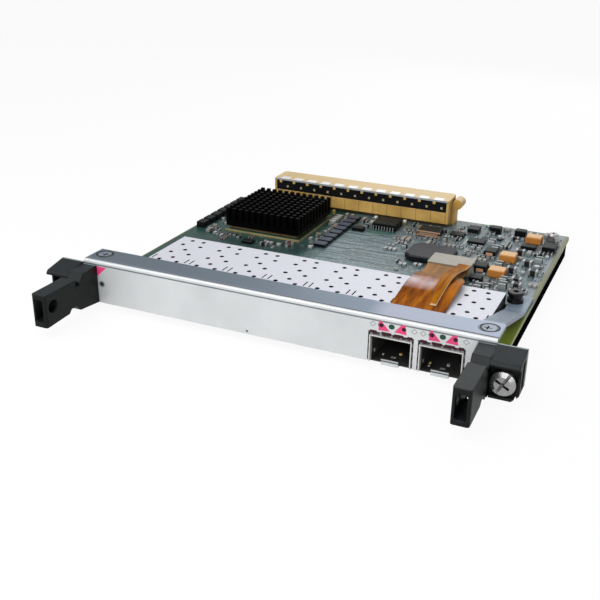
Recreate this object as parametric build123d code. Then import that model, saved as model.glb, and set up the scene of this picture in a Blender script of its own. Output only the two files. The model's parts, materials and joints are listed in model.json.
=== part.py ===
from build123d import *
import os
from math import atan2, degrees, hypot

# Shared port adapter: a plug-in card with a folded faceplate, two open module bays, a perforated
# module cage, a main board with its parts, a rear connector, two pull handles and two captive screws.
# Millimetres. Modelled with X across the panel, Y = 0 on the panel's front face and running back into
# the chassis, Z = 0 on the underside of the tray. The finished parts are moved along Y at the end, so
# that the row's origin is the middle of the whole card's footprint.

# Levels, up from the underside of the tray
flange_top = 18.6
board_top = 7.3
board_thickness = 1.6
cage_top = 11.95
cage_height = 9.8

# Faceplate
sheet = 1.2
ear_reach = 9.1
panel_height = 15.9
flange_width = 148.4
flange_depth = 11.1
bend_radius = 1.0
ear_drop = 1.6
ear_chamfer = 2.4
flange_screw_inset = 4.6
flange_screw_y = 6.8
flange_screw_radius = 1.5
flange_screw_head = 3.05
countersink_depth = 1.0
countersink_ring = 0.3
strap_inset = 0.3
strap_width = 7.0
strap_start_y = 10.2
strap_foot_y = 46.0
strap_end_y = 60.0
strap_screw_inset = 1.8
strap_screw_y = 53.8
knob_radius = 2.9
knob_foot = 1.3
knob_waist = 0.5
knob_height = 3.8

# Module cage: as many bays side by side as the flange has room for, the last two open at the panel
open_bays = 2
bay_pitch = 16.25
cage_inset = 8.4
cage_sheet = 0.4
cage_front = 1.5
cage_back = 51.7
bay_width = 13.1
nose_reach = 0.3
finger_gap = 0.5
latch_width = 5.7
latch_rise = 1.25
latch_thickness = 0.5
light_drop = 2.8
light_spacing = 3.5
light_radius = 0.85
status_inset = 7.1
status_drop = 8.6
finger_height = 1.3
cage_hole_radius = 0.95
hole_rows = ((48.5, 2.5), (43.5, 3.9), (38.6, 0), (34.7, 3.9), (29.8, 0), (26.3, 3.8), (21.6, 0), (17.8, 3.8))
socket_width = 11.2
socket_front = 36.0
socket_back = 46.5
socket_height = 5.2
mouth_width = 9.2
mouth_reach = 5.5
mouth_levels = (2.2, 3.6)
slit_length = 4.2
slit_width = 0.5
slit_y = 28.2
slit_gap = 2.2

# Main board and the port board under the cage
board_overlap = 0.2
board_front = 2.6
board_back = 135.0
board_notch_gap = 0.7
port_board_thickness = 1.2
port_board_back = 56.0
port_board_front = 5.0
board_screw_inset = 5.2
board_screw_setback = 10.8
spacer_radius = 2.3
spacer_height = 2.4
screw_radius = 1.25
screw_head_radius = 2.4
screw_head_height = 1.7
screw_gap = 0.05

# Tray
tray_sheet = 0.8
tray_setback = 0.1
tray_back = 133.4
tray_corner = 3.0
lip_width = 6.0
floor_front = 6.6
wall_front_bottom = 2.6

# Handles
grip_width = 5.6
grip_reach = 28.5
tip_radius = 0.9
grip_top_drop = 2.8
grip_height = 11.6
finger_hole_y = -24.7
finger_hole_drop = 7.7
finger_hole_radius = 2.35
slot_width = 3.4
slot_height = 8.4
slot_depth = 17.0
pad_reach = 8.1
pad_front = 10.2
groove_width = 2.2
block_wall = 0.8
block_corner = 2.2
pocket_relief = 0.3
block_front = 7.0
block_face = 5.0
roof_reach = 9.7
roof_drop = 1.0
roof_slope = 1.7
roof_thickness = 2.6
handle_screw_drops = (8.2, 4.0)
handle_screw_radius = 1.0
handle_screw_depth = 6.0

# Captive screws
captive_drop = 10.4
captive_radius = 1.9
captive_head_gap = 0.35
captive_head_height = 2.5
captive_reach = 11.0
captive_travel = 4.0
captive_fit = 0.05
face_gap = 0.3
clip_radius = 2.9
clip_thickness = 0.6
groove_radius = 1.4

# Rear connector
connector_shares = (0.8925, 0.3353)
connector_depth = 11.9
connector_setback = 0.6
connector_rise = 0.7
connector_lift = 1.6
contact_columns = 12
band_drops = (0.1, 4.7)
band_depth = 1.2
band_margin = 1.0
shield_thickness = 0.3
tab_width = 4.2
tab_depth = 3.4
tab_thickness = 0.35
guide_radius = 2.2
guide_drop = 2.1
guide_length = 6.4
guide_foot = 1.4
guide_bore = 1.4

# Flex cable between the light board and the main board
flex_inset = 22.9
flex_width = 18.6
flex_rest = 0.25
flex_route = ((18.0, 0.0), (26.0, 0.5), (33.0, 1.5), (38.0, 2.3), (42.0, 2.6), (46.5, 2.4), (51.5, 1.7),
              (55.0, 0.8), (57.5, -0.6), (60.0, -1.6), (63.0, -2.0), (66.5, -1.9))
strip_route = ((28.0, 0.9), (34.0, 2.3), (40.0, 3.5), (46.5, 3.8), (52.5, 3.4), (58.0, 2.3), (63.5, 0.7))
stiffener_inset = 26.6
stiffener_width = 16.4
stiffener_front = 70.6
stiffener_depth = 10.6
stiffener_thickness = 0.5
stiffener_height = 4.0
socket_depth = 5.6
film = 0.3
strip_inset = 26.9
strip_width = 4.2

# Heat sink and its chip
sink_place = (0.786, 0.487)
sink_size = 33.8
sink_base = 2.0
sink_height = 7.5
pin_columns = 12
pin_rows = 11
pin_size = 1.5
package_size = 34.6
package_height = 2.0
pad_thickness = 0.5

# Chips and capacitors. Each place is a share of the board's width, from its right edge, and a share of
# the depth behind the cage, from its back edge; then come width, depth and height
chip_places = (
    (0.363, 0.279, 9.4, 6.6, 2.6),
    (0.560, 0.387, 5.0, 3.0, 1.6),
    (0.796, 0.804, 4.6, 3.2, 1.2),
    (0.255, 0.150, 4.6, 5.4, 2.2),
    (0.225, 0.306, 7.0, 5.0, 1.4),
    (0.198, 0.103, 4.4, 3.8, 2.6),
    (0.128, 0.096, 4.6, 3.8, 2.6),
    (0.169, 0.435, 4.6, 4.6, 2.2),
    (0.086, 0.269, 6.0, 3.6, 1.4),
    (0.164, 0.653, 4.6, 5.0, 2.6),
    (0.159, 0.782, 4.6, 3.6, 1.6),
    (0.290, 0.241, 6.0, 4.6, 1.2),
    (0.031, 0.252, 5.2, 7.0, 2.4),
)
capacitor_places = ((0.118, 0.691), (0.116, 0.479), (0.082, 0.172))
capacitor_width = 6.4
capacitor_depth = 5.2
capacitor_height = 3.2
driver_place = (0.495, 0.275)
driver_width = 10.6
driver_depth = 9.0
driver_height = 2.9
lead_pitch = 1.25
lead_width = 0.46
lead_reach = 1.6
lead_thickness = 0.3
leads_per_side = 8
controller_place = (0.308, 0.593)
controller_width = 18.4
controller_depth = 16.4
controller_height = 2.6
row_start = 0.684
memory_share = 0.606
memory_count = 8
memory_pitch = 5.3
memory_size = (5.0, 3.8, 1.4)
edge_chip_inset = 3.2
edge_chip_count = 7
edge_chip_pitch = 5.9
edge_chip_size = (3.6, 4.6, 2.5)

# Values worked out from the sizes above
flange_half = flange_width / 2
panel_half = flange_half + ear_reach
bay_count = int((flange_width - 2 * cage_inset) / bay_pitch)
flange_screw_x = flange_half - flange_screw_inset
strap_outer_x = flange_half - strap_inset
strap_inner_x = strap_outer_x - strap_width
strap_screw_x = strap_inner_x + strap_screw_inset
grip_outer_x = flange_half + board_overlap
grip_inner_x = grip_outer_x - grip_width
handle_screw_x = (grip_inner_x + grip_outer_x) / 2
block_outer_x = panel_half
pocket_inner_x = grip_outer_x - pocket_relief
pocket_outer_x = block_outer_x - block_wall
captive_x = (pocket_inner_x + pocket_outer_x) / 2
captive_head_radius = (pocket_outer_x - pocket_inner_x) / 2 - captive_head_gap
board_width = flange_width + 2 * board_overlap
board_right = board_width / 2
board_screw_x = board_right - board_screw_inset
board_screw_y = board_back - board_screw_setback
board_bottom = board_top - board_thickness
cage_bottom = cage_top - cage_height
cage_width = bay_count * bay_pitch
cage_right = flange_half - cage_inset
cage_left = cage_right - cage_width
panel_bottom = flange_top - panel_height
wall_spread = (bay_pitch - bay_width) / 2
port_opening_width = bay_width + 2 * (cage_sheet + finger_gap)
port_opening_top = cage_top + finger_height
open_bay_centres = [cage_right - (k + 0.5) * bay_pitch for k in range(open_bays)][::-1]
port_board_bottom = cage_bottom - port_board_thickness
sink_bottom = board_top + package_height + pad_thickness
connector_back = board_back - connector_setback
connector_front = connector_back - connector_depth
connector_top = flange_top + connector_rise
band_top = flange_top - band_drops[0]
band_bottom = flange_top - band_drops[1]
captive_z = flange_top - captive_drop
handle_screw_levels = [flange_top - drop for drop in handle_screw_drops]
light_back = sheet + 1.4
flex_right = board_right - flex_inset
flex_left = flex_right - flex_width
stiffener_right = board_right - stiffener_inset
stiffener_left = stiffener_right - stiffener_width
strip_right = board_right - strip_inset
edge_chip_x = edge_chip_inset - board_right
card_middle_y = (board_back - grip_reach) / 2

os.makedirs("parts", exist_ok=True)


def across(share):
    """X of a place on the board, from a share of its width measured from the right edge."""
    return board_right - share * board_width


def along(share):
    """Y of a place on the board, from a share of the depth between its back edge and the cage."""
    return board_back - share * (board_back - cage_back)


sink_x = across(sink_place[0])
sink_y = along(sink_place[1])
connector_left = across(connector_shares[0])
connector_right = across(connector_shares[1])
connector_width = connector_right - connector_left


def block(x0, x1, y0, y1, z0, z1):
    """A box given by its two limits along each axis."""
    return Pos((x0 + x1) / 2, (y0 + y1) / 2, (z0 + z1) / 2) * Box(x1 - x0, y1 - y0, z1 - z0)


def rod_y(x, z, y0, y1, radius):
    """A round bar along Y."""
    return Pos(x, (y0 + y1) / 2, z) * Rot(90, 0, 0) * Cylinder(radius, y1 - y0)


def octagon_y(x, z, y0, y1, radius):
    """An eight-sided bar along Y, for small hidden shanks and pins."""
    bar = extrude(RegularPolygon(radius, 8), amount=y1 - y0)
    return Pos(x, y1, z) * Rot(90, 0, 0) * bar


def rod_z(x, y, z0, z1, radius):
    """A round bar along Z."""
    return Pos(x, y, (z0 + z1) / 2) * Cylinder(radius, z1 - z0)


def octagon_z(x, y, z0, z1, radius):
    """An eight-sided bar along Z, for hidden shanks and their holes."""
    return Pos(x, y, z0) * extrude(RegularPolygon(radius, 8), amount=z1 - z0)


def side_profile(points, x0, x1):
    """A closed outline of (y, z) points, extruded from x0 to x1."""
    wire = Polyline(*[(x0, y, z) for y, z in points], close=True)
    return extrude(make_face(wire), amount=x1 - x0, dir=(1, 0, 0))


def mirrored(shape):
    """The same shape on the other side of the card."""
    return mirror(shape, about=Plane.YZ)


def save(name, shape):
    """Write one node, moved so that the origin is the middle of the footprint."""
    solids = shape.solids()
    placed = [Pos(0, -card_middle_y, 0) * solid for solid in solids]
    export_step(placed[0] if len(placed) == 1 else Compound(placed), "parts/" + name + ".step")


def pan_screw(x, y, seat_z, tip_z):
    """A pan head screw standing on seat_z, with a rounded head and a cross recess."""
    top = seat_z + screw_head_height
    head = rod_z(x, y, seat_z, top, screw_head_radius)
    head = chamfer(head.edges().sort_by(Axis.Z)[-1], screw_head_height * 0.35)
    recess = Pos(x, y, top) * (Box(screw_head_radius, 0.5, 1.0) + Box(0.5, screw_head_radius, 1.0))
    return head - recess + octagon_z(x, y, tip_z, seat_z, screw_radius)


def make_faceplate():
    """One folded sheet: the panel with its ears, the top flange and the strap down to the board."""
    outer = [(0, panel_bottom), (0, flange_top), (flange_depth, flange_top)]
    inner = [(flange_depth, flange_top - sheet), (sheet, flange_top - sheet), (sheet, panel_bottom)]
    plate = side_profile(outer + inner, -flange_width / 2, flange_width / 2)
    along = plate.edges().filter_by(Axis.X)
    bend = [e for e in along if abs(e.center().Y) < 0.01 and e.center().Z > flange_top - 0.01]
    plate = fillet(bend, bend_radius)
    ears = block(-panel_half, panel_half, 0, sheet, panel_bottom, flange_top - ear_drop)
    ends = [e for e in ears.edges().filter_by(Axis.Y) if e.center().Z < panel_bottom + 1]
    plate += chamfer(ends, ear_chamfer)
    foot_top = board_top + sheet
    strap = [
        (strap_start_y, flange_top),
        (flange_depth + 0.6, flange_top),
        (strap_foot_y, foot_top),
        (strap_end_y, foot_top),
        (strap_end_y, board_top),
        (strap_foot_y - 0.2, board_top),
        (flange_depth + 0.4, flange_top - sheet),
        (strap_start_y, flange_top - sheet),
    ]
    plate += side_profile(strap, strap_inner_x, strap_outer_x)
    plate -= octagon_z(strap_screw_x, strap_screw_y, board_top - 1, foot_top + 1, screw_radius + screw_gap)
    for x in open_bay_centres:
        half = port_opening_width / 2
        plate -= block(x - half, x + half, -1, sheet + 1, panel_bottom - 1, port_opening_top)
    for x, z, radius in light_places():
        plate -= octagon_y(x, z, -1, sheet + 1, radius + screw_gap)
    for side in (-1, 1):
        plate -= countersink(side * flange_screw_x, 0, 0)
        plate -= rod_y(side * captive_x, captive_z, -1, sheet + 1, captive_radius + captive_fit)
        for level in handle_screw_levels:
            plate -= octagon_y(side * handle_screw_x, level, -1, sheet + 1, handle_screw_radius + screw_gap)
    return plate


def light_places():
    """Centre and radius of each indicator in the panel: three over each port, one status light."""
    places = []
    for x in open_bay_centres:
        for step in (-light_spacing, 0, light_spacing):
            places.append((x + step, flange_top - light_drop, light_radius))
    places.append((status_inset - flange_half, flange_top - status_drop, light_radius))
    return places


def countersink(x, ring, gap):
    """The flat head's cone and its shank, smaller than the hole by ring at the head and gap at the shank."""
    head = flange_screw_head - ring
    shank = flange_screw_radius - gap
    cone = Pos(x, flange_screw_y, flange_top - countersink_depth / 2) * Cone(shank, head, countersink_depth)
    return cone + octagon_z(x, flange_screw_y, flange_top - 6.0, flange_top - countersink_depth, shank)


def make_flange_screws():
    """Two flat head screws in the top flange, each with a cross recess."""
    solids = []
    for side in (-1, 1):
        screw = countersink(side * flange_screw_x, countersink_ring, screw_gap)
        cross = Box(2.6, 0.5, 1.2) + Box(0.5, 2.6, 1.2)
        recess = Pos(side * flange_screw_x, flange_screw_y, flange_top) * cross
        solids += (screw - recess).solids()
    return Compound(solids)


def make_flange_posts():
    """Two hexagonal posts that carry the flange's ends over the board."""
    height = flange_top - sheet - board_top
    solids = []
    for side in (-1, 1):
        post = extrude(RegularPolygon(2.6, 6, major_radius=False), amount=height)
        post = Pos(side * flange_screw_x, flange_screw_y, board_top) * post
        bore = octagon_z(side * flange_screw_x, flange_screw_y, board_top, flange_top, flange_screw_radius)
        solids += (post - bore).solids()
    return Compound(solids)


def make_tray():
    """One folded sheet: floor, two side walls with lips under the board, and a back wall."""
    half = flange_half - tray_setback
    front = sheet
    outline = [
        (floor_front, 0),
        (tray_back, 0),
        (tray_back, board_bottom),
        (front, board_bottom),
        (front, wall_front_bottom),
    ]
    shell = side_profile(outline, -half, half)
    corners = [e for e in shell.edges().filter_by(Axis.Z) if e.center().Y > tray_back - 1]
    shell = fillet(corners, tray_corner)
    inside = half - tray_sheet
    cavity = block(-inside, inside, front - 1, tray_back - tray_sheet, tray_sheet, board_bottom - tray_sheet)
    inner_corners = [e for e in cavity.edges().filter_by(Axis.Z) if e.center().Y > tray_back - 2]
    cavity = fillet(inner_corners, tray_corner - tray_sheet)
    mouth_half = half - lip_width
    mouth = block(-mouth_half, mouth_half, front - 1, tray_back - lip_width, tray_sheet, board_bottom + 1)
    tray = shell - cavity - mouth
    for x, y in board_fixings():
        tray -= octagon_z(x, y, board_bottom - tray_sheet - 0.5, board_bottom + 1, screw_radius + screw_gap)
    return tray


def board_fixings():
    """Places where a screw goes through the board into the tray's lips."""
    return [(-board_screw_x, board_screw_y), (board_screw_x, board_screw_y), (strap_screw_x, strap_screw_y)]


def make_main_board():
    """The green board, notched in front for the module cage."""
    half = board_width / 2
    board = block(-half, half, board_front, board_back, board_bottom, board_top)
    board -= block(cage_left - board_notch_gap, cage_right + board_notch_gap, board_front - 1,
                   cage_back + board_notch_gap, board_bottom - 1, board_top + 1)
    corners = [e for e in board.edges().filter_by(Axis.Z) if e.center().Y > board_back - 1]
    board = fillet(corners, 1.0)
    for x, y in board_fixings():
        board -= octagon_z(x, y, board_bottom - 1, board_top + 1, screw_radius + screw_gap)
    return board


def make_board_screws():
    """Two pan head screws at the board's rear corners."""
    solids = []
    for side, seat in ((-1, board_top), (1, board_top + spacer_height)):
        x = side * board_screw_x
        y = board_screw_y
        solids += pan_screw(x, y, seat, board_bottom - 1.6).solids()
    return Compound(solids)


def make_strap_screw():
    """The black knob screw that holds the faceplate's strap, the board and the tray together."""
    seat = board_top + sheet
    top = seat + knob_height
    waist = knob_radius - knob_waist
    profile = [
        (0, seat),
        (knob_radius, seat),
        (knob_radius, seat + knob_foot),
        (waist, seat + knob_foot + 0.3),
        (waist, top - 1.2),
        (knob_radius, top - 1.0),
        (knob_radius, top - 0.3),
        (knob_radius - 0.4, top),
        (0, top),
    ]
    outline = Polyline(*[(r, 0, z) for r, z in profile], close=True)
    knob = revolve(make_face(outline), Axis.Z)
    socket = Pos(0, 0, top - 1.2) * extrude(RegularPolygon(1.1, 6), amount=2)
    shank = octagon_z(0, 0, board_bottom - 1.6, seat, screw_radius)
    return Pos(strap_screw_x, strap_screw_y, 0) * (knob - socket + shank)


def make_corner_spacer():
    """The hexagonal spacer that lifts the rear right screw clear of the parts round it."""
    x = board_screw_x
    y = board_screw_y
    spacer = extrude(RegularPolygon(spacer_radius, 6, major_radius=False), amount=spacer_height)
    hole = octagon_z(x, y, board_top - 1, board_top + spacer_height + 1, screw_radius + screw_gap)
    return Pos(x, y, board_top) * spacer - hole


def make_cage_cover():
    """The perforated top sheet over all eight bays."""
    top = cage_top
    cover = block(cage_left, cage_right, cage_front, cage_back, top - cage_sheet, top)
    punches = []
    for k in range(bay_count):
        middle = cage_left + (k + 0.5) * bay_pitch
        for y, spread in hole_rows:
            for x in {middle - spread, middle + spread}:
                punches.append(Pos(x, y, top - 1) * extrude(RegularPolygon(cage_hole_radius, 6), amount=2))
    for k in range(bay_count + 1):
        wall = cage_left + k * bay_pitch
        for x in (wall - slit_gap / 2, wall + slit_gap / 2):
            if cage_left < x < cage_right:
                half = slit_width / 2
                punches.append(block(x - half, x + half, slit_y - slit_length / 2, slit_y + slit_length / 2,
                                     top - 1, top + 1))
    return cover - punches


def make_cage_walls():
    """The cage's two outer sides and its back, one folded sheet."""
    z0 = cage_bottom
    z1 = cage_top - cage_sheet
    walls = block(cage_left, cage_right, cage_front, cage_back, z0, z1)
    walls -= block(cage_left + cage_sheet, cage_right - cage_sheet, cage_front - 1, cage_back - cage_sheet,
                   z0 - 1, z1 + 1)
    return walls


def divider_limits():
    """X limits of each folded channel between two bays, and of the end fillers."""
    limits = []
    for k in range(1, bay_count):
        middle = cage_left + k * bay_pitch
        limits.append((middle - wall_spread, middle + wall_spread))
    return limits


def make_cage_dividers():
    """Seven folded channels, each making the side walls of two neighbouring bays."""
    z0 = cage_bottom + cage_sheet
    z1 = cage_top - cage_sheet
    solids = []
    for x0, x1 in divider_limits():
        channel = block(x0, x1, cage_front, cage_back - cage_sheet, z0, z1)
        channel -= block(x0 + cage_sheet, x1 - cage_sheet, cage_front - 1, cage_back, z0 - 1, z1 - cage_sheet)
        solids += channel.solids()
    return Compound(solids)


def make_cage_floor():
    """The cage's bottom sheet, with a latch tab bent down at each open bay's mouth."""
    z0 = cage_bottom
    floor = block(cage_left + cage_sheet, cage_right - cage_sheet, cage_front, cage_back - cage_sheet,
                  z0, z0 + cage_sheet)
    for x in open_bay_centres:
        left = x - latch_width / 2
        right = x + latch_width / 2
        floor += block(left, right, 0, cage_front, z0, z0 + cage_sheet)
        floor += block(left, right, 0, latch_thickness, z0, panel_bottom + latch_rise)
    return floor


def make_port_collars():
    """The noses of the two open bays, which show as bright edges in the panel's openings."""
    half = bay_width / 2
    solids = []
    for x in open_bay_centres:
        top = cage_top
        nose = block(x - half - cage_sheet, x + half + cage_sheet, -nose_reach, cage_front, panel_bottom, top)
        nose -= block(x - half, x + half, -nose_reach - 1, cage_front + 1, panel_bottom - 1, top - cage_sheet)
        solids += nose.solids()
    return Compound(solids)


def make_port_springs():
    """Spring fingers that bridge the noses and the panel's openings, four over each port and three a side."""
    solids = []
    half = bay_width / 2 + cage_sheet
    for x in open_bay_centres:
        top = block(x - half, x + half, sheet, cage_front + 2.2, cage_top, cage_top + 0.25)
        for k in range(5):
            bar_x = x - half + 0.5 + k * (2 * half - 1.0) / 4
            top += block(bar_x - 0.45, bar_x + 0.45, 0.3, sheet, cage_top, port_opening_top - 0.3)
            top += block(bar_x - 0.45, bar_x + 0.45, sheet, sheet + 0.3, cage_top, port_opening_top - 0.3)
        solids += top.solids()
        for side in (-1, 1):
            wall = x + side * half
            outer = wall + side * (finger_gap - 0.1)
            for k in range(3):
                z = panel_bottom + 1.6 + k * 2.9
                solids += block(min(wall, outer), max(wall, outer), 0.3, sheet, z, z + 1.3).solids()
    return Compound(solids)


def make_host_connectors():
    """One twenty-way socket at the back of each open bay, on the port board."""
    solids = []
    floor = cage_bottom + cage_sheet
    half = socket_width / 2
    mouth = mouth_width / 2
    low, high = mouth_levels
    for x in open_bay_centres:
        body = block(x - half, x + half, socket_front, socket_back, floor, floor + socket_height)
        body -= block(x - mouth, x + mouth, socket_front - 1, socket_front + mouth_reach,
                      floor + low, floor + high)
        body = chamfer(body.edges().filter_by(Axis.X).sort_by(Axis.Z)[-1], 0.8)
        solids += body.solids()
    return Compound(solids)


def make_port_board():
    """The lower board that carries the module cage."""
    top = cage_bottom
    board = block(cage_left + 4, cage_right - 4, port_board_front, port_board_back, port_board_bottom, top)
    return fillet(board.edges().filter_by(Axis.Z), 1.5)


def make_port_board_film():
    """The insulating film between the port board and the tray's floor."""
    left = cage_left + 3
    right = cage_right - 3
    return block(left, right, floor_front + 0.5, port_board_back + 1, tray_sheet, port_board_bottom)


def make_led_board():
    """The narrow upright board behind the panel that carries the port lights."""
    x0 = open_bay_centres[0] - 7.0
    x1 = open_bay_centres[-1] + 7.0
    return block(x0, x1, light_back, light_back + 1.0, cage_top + 0.25, flange_top - sheet - 0.3)


def make_light_pipes():
    """Clear round pins from the small boards to the panel's face."""
    solids = []
    for x, z, radius in light_places():
        solids += octagon_y(x, z, 0.1, light_back, radius).solids()
    return Compound(solids)


def make_status_board():
    """The stub board behind the status light, standing on the main board's left arm."""
    x, z, radius = light_places()[-1]
    return block(x - 1.7, x + 1.7, light_back, light_back + 1.0, board_top, z + 2 * radius)


def grip_outline():
    """The handle's side outline as (y, z) points, from the panel out along the top and back below."""
    top = flange_top
    grip_top = top - grip_top_drop
    grip_bottom = grip_top - grip_height
    groove_floor = top - 6.0
    return [
        (0, top - 1.7),
        (-pad_reach, top - 2.1),
        (-pad_front, top - 4.6),
        (-pad_front, groove_floor),
        (-pad_front - groove_width, groove_floor),
        (-pad_front - groove_width, grip_top),
        (-grip_reach, grip_top),
        (-grip_reach, grip_bottom),
        (-16.6, grip_bottom + 0.6),
        (-15.4, grip_bottom + 1.9),
        (-12.6, grip_bottom + 1.9),
        (-10.6, grip_bottom - 0.3),
        (0, panel_bottom + 0.1),
    ]


def make_right_handle():
    """One moulding: the slotted grip, its pad on the panel and the hooded block round the captive screw."""
    grip = side_profile(grip_outline(), grip_inner_x, grip_outer_x)
    grip = fillet([e for e in grip.edges().filter_by(Axis.Z) if e.center().Y < 0.5 - grip_reach], tip_radius)
    slot_x = (grip_inner_x + grip_outer_x) / 2
    finger_hole = Rot(0, 90, 0) * Cylinder(finger_hole_radius, grip_width)
    grip -= Pos(grip_inner_x, finger_hole_y, flange_top - finger_hole_drop) * finger_hole
    slot_z = flange_top - grip_top_drop - grip_height / 2
    slot = block(slot_x - slot_width / 2, slot_x + slot_width / 2, -grip_reach - 1, -grip_reach + slot_depth,
                 slot_z - slot_height / 2, slot_z + slot_height / 2)
    grip -= chamfer(slot.edges().filter_by(Axis.Y), 0.6)
    roof_back = flange_top - roof_drop
    roof_front = roof_back - roof_slope
    floor_top = panel_bottom + 0.2 + block_wall
    hood = [
        (0, roof_back),
        (-roof_reach + 0.8, roof_front),
        (-roof_reach, roof_front - 0.9),
        (-roof_reach, roof_back - roof_thickness - 0.6),
        (-block_front, roof_back - roof_thickness - 1.2),
        (-block_front, panel_bottom + 0.2),
        (0, panel_bottom + 0.2),
    ]
    hood = side_profile(hood, grip_outer_x, block_outer_x)
    lower_corner = [e for e in hood.edges().filter_by(Axis.Y)
                    if e.center().X > block_outer_x - 0.1 and e.center().Z < panel_bottom + 1]
    hood = chamfer(lower_corner, block_corner)
    groove = block(block_outer_x - 0.5, block_outer_x + 1, -5.2, -2.2, panel_bottom + 3.6, roof_back - 2.6)
    pocket = block(pocket_inner_x, pocket_outer_x, -roof_reach - 1, -block_face,
                   floor_top, roof_back - roof_thickness - 1.3)
    handle = grip + (hood - groove) - pocket
    handle -= rod_y(captive_x, captive_z, -block_face - 1, 1, captive_radius + captive_fit)
    for level in handle_screw_levels:
        handle -= octagon_y(handle_screw_x, level, -handle_screw_depth, 1, handle_screw_radius + screw_gap)
    return handle


def make_handle_screws():
    """Four screws from behind the panel into the two handles."""
    solids = []
    for side in (-1, 1):
        for level in handle_screw_levels:
            x = side * handle_screw_x
            shank = octagon_y(x, level, -handle_screw_depth + 0.4, sheet, handle_screw_radius)
            solids += (shank + octagon_y(x, level, sheet, sheet + 1.2, 1.8)).solids()
    return Compound(solids)


def make_right_captive_screw():
    """A pan head screw with a combined cross and slot, and a groove for its clip."""
    seat = -block_face - face_gap
    head = rod_y(captive_x, captive_z, seat - captive_head_height, seat, captive_head_radius)
    rim = head.edges().filter_by(lambda e: e.center().Y < seat - captive_head_height + 0.01)
    head = chamfer(rim, captive_head_height * 0.3, captive_head_height * 0.55)
    front = seat - captive_head_height
    cut = captive_head_radius * 2
    slot = Pos(captive_x, front, captive_z) * Rot(0, 30, 0) * Box(0.9, 1.6, cut + 1)
    cross = Pos(captive_x, front, captive_z) * Rot(0, 30, 0) * Box(cut * 0.62, 2.6, 0.8)
    shank = rod_y(captive_x, captive_z, seat, captive_reach, captive_radius)
    tip = shank.edges().filter_by(lambda e: e.center().Y > captive_reach - 0.01)
    shank = chamfer(tip, 0.5)
    clip_back = clip_front() + clip_thickness
    ring_slot = rod_y(captive_x, captive_z, clip_front() - face_gap, clip_back + face_gap, captive_radius + 1)
    ring_slot -= rod_y(captive_x, captive_z, clip_front() - 1, clip_back + 1, groove_radius)
    return head - slot - cross + (shank - ring_slot)


def clip_front():
    """The clip's front face: it meets the panel when the screw is pulled right out."""
    return sheet + captive_travel + face_gap


def make_right_clip():
    """The clip that keeps the captive screw in the panel."""
    y0 = clip_front()
    clip = rod_y(captive_x, captive_z, y0, y0 + clip_thickness, clip_radius)
    return clip - rod_y(captive_x, captive_z, y0 - 1, y0 + 2, groove_radius + captive_fit)


def make_connector_housing():
    """The tall rear connector's gold housing, open in front along the contact band."""
    low = board_top + connector_lift
    outline = [
        (connector_front, low),
        (connector_front, connector_top - 0.3),
        (connector_front + 0.3, connector_top),
        (connector_back, connector_top),
        (connector_back, board_top),
        (connector_front + 2.2, board_top),
        (connector_front + 2.2, low),
    ]
    housing = side_profile(outline, connector_left, connector_right)
    rear = [e for e in housing.edges().filter_by(Axis.Z) if e.center().Y > connector_back - 0.1]
    housing = fillet(rear, 1.2)
    left = connector_left + band_margin
    right = connector_right - band_margin
    housing -= block(left, right, connector_front - 1, connector_front + band_depth, band_bottom, band_top)
    for x in column_centres():
        half = tab_width / 2
        housing -= block(x - half, x + half, connector_front - 1, connector_front + tab_depth,
                         connector_top - tab_thickness, connector_top + 1)
    return housing


def column_centres():
    """X of the middle of each contact column."""
    span = connector_width - 3 * band_margin
    step = span / contact_columns
    return [connector_left + 1.5 * band_margin + (k + 0.5) * step for k in range(contact_columns)]


def make_connector_insulator():
    """The black strip in the connector's front window."""
    left = connector_left + band_margin
    right = connector_right - band_margin
    return block(left, right, connector_front + 0.4, connector_front + band_depth, band_bottom, band_top)


def make_connector_contacts():
    """Two staggered rows of gold contact ends in the black strip."""
    quarter = (connector_width - 3 * band_margin) / contact_columns / 4
    middle = (band_top + band_bottom) / 2
    solids = []
    for x in column_centres():
        upper = Pos(x - quarter, connector_front, band_top - 0.55) * Box(1.1, 0.8, 1.1)
        lower = Pos(x + quarter, connector_front + 0.2, middle - 0.5) * Box(0.9, 0.4, 0.9)
        solids += upper.solids() + lower.solids()
    return Compound(solids)


def make_connector_shield():
    """The bright strip along the housing's upper front edge, with a tab bent back over each column."""
    left = connector_left + band_margin / 2
    right = connector_right - band_margin / 2
    front = connector_front - shield_thickness
    strip = block(left, right, front, connector_front, band_top, connector_top)
    for x in column_centres():
        strip += block(x - tab_width / 2, x + tab_width / 2, front, connector_front + tab_depth,
                       connector_top - tab_thickness, connector_top)
    return strip


def make_guide_socket():
    """The round guide at the connector's right end, which finds the chassis pin first."""
    x = connector_right + guide_radius
    z = flange_top - guide_drop
    front = connector_back - guide_length
    body = rod_y(x, z, front, connector_back, guide_radius)
    foot = block(connector_right, connector_right + guide_foot, front, connector_back - 1.0, board_top, z)
    bore = rod_y(x, z, front + guide_bore, connector_back + 1, guide_bore)
    return body + foot - bore


def make_heat_sink():
    """The pin heat sink: a base plate with rows of square pins."""
    half = sink_size / 2
    base_top = sink_bottom + sink_base
    step_x = (sink_size - pin_size) / (pin_columns - 1)
    step_y = (sink_size - pin_size) / (pin_rows - 1)
    cuts = []
    for k in range(pin_columns - 1):
        x0 = sink_x - half + pin_size + k * step_x
        cuts.append(block(x0, x0 + step_x - pin_size, sink_y - half - 1, sink_y + half + 1,
                          base_top, sink_bottom + sink_height + 1))
    for k in range(pin_rows - 1):
        y0 = sink_y - half + pin_size + k * step_y
        cuts.append(block(sink_x - half - 1, sink_x + half + 1, y0, y0 + step_y - pin_size,
                          base_top, sink_bottom + sink_height + 1))
    return slab(sink_x, sink_y, sink_size, sink_size, sink_bottom, sink_bottom + sink_height) - cuts


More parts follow.
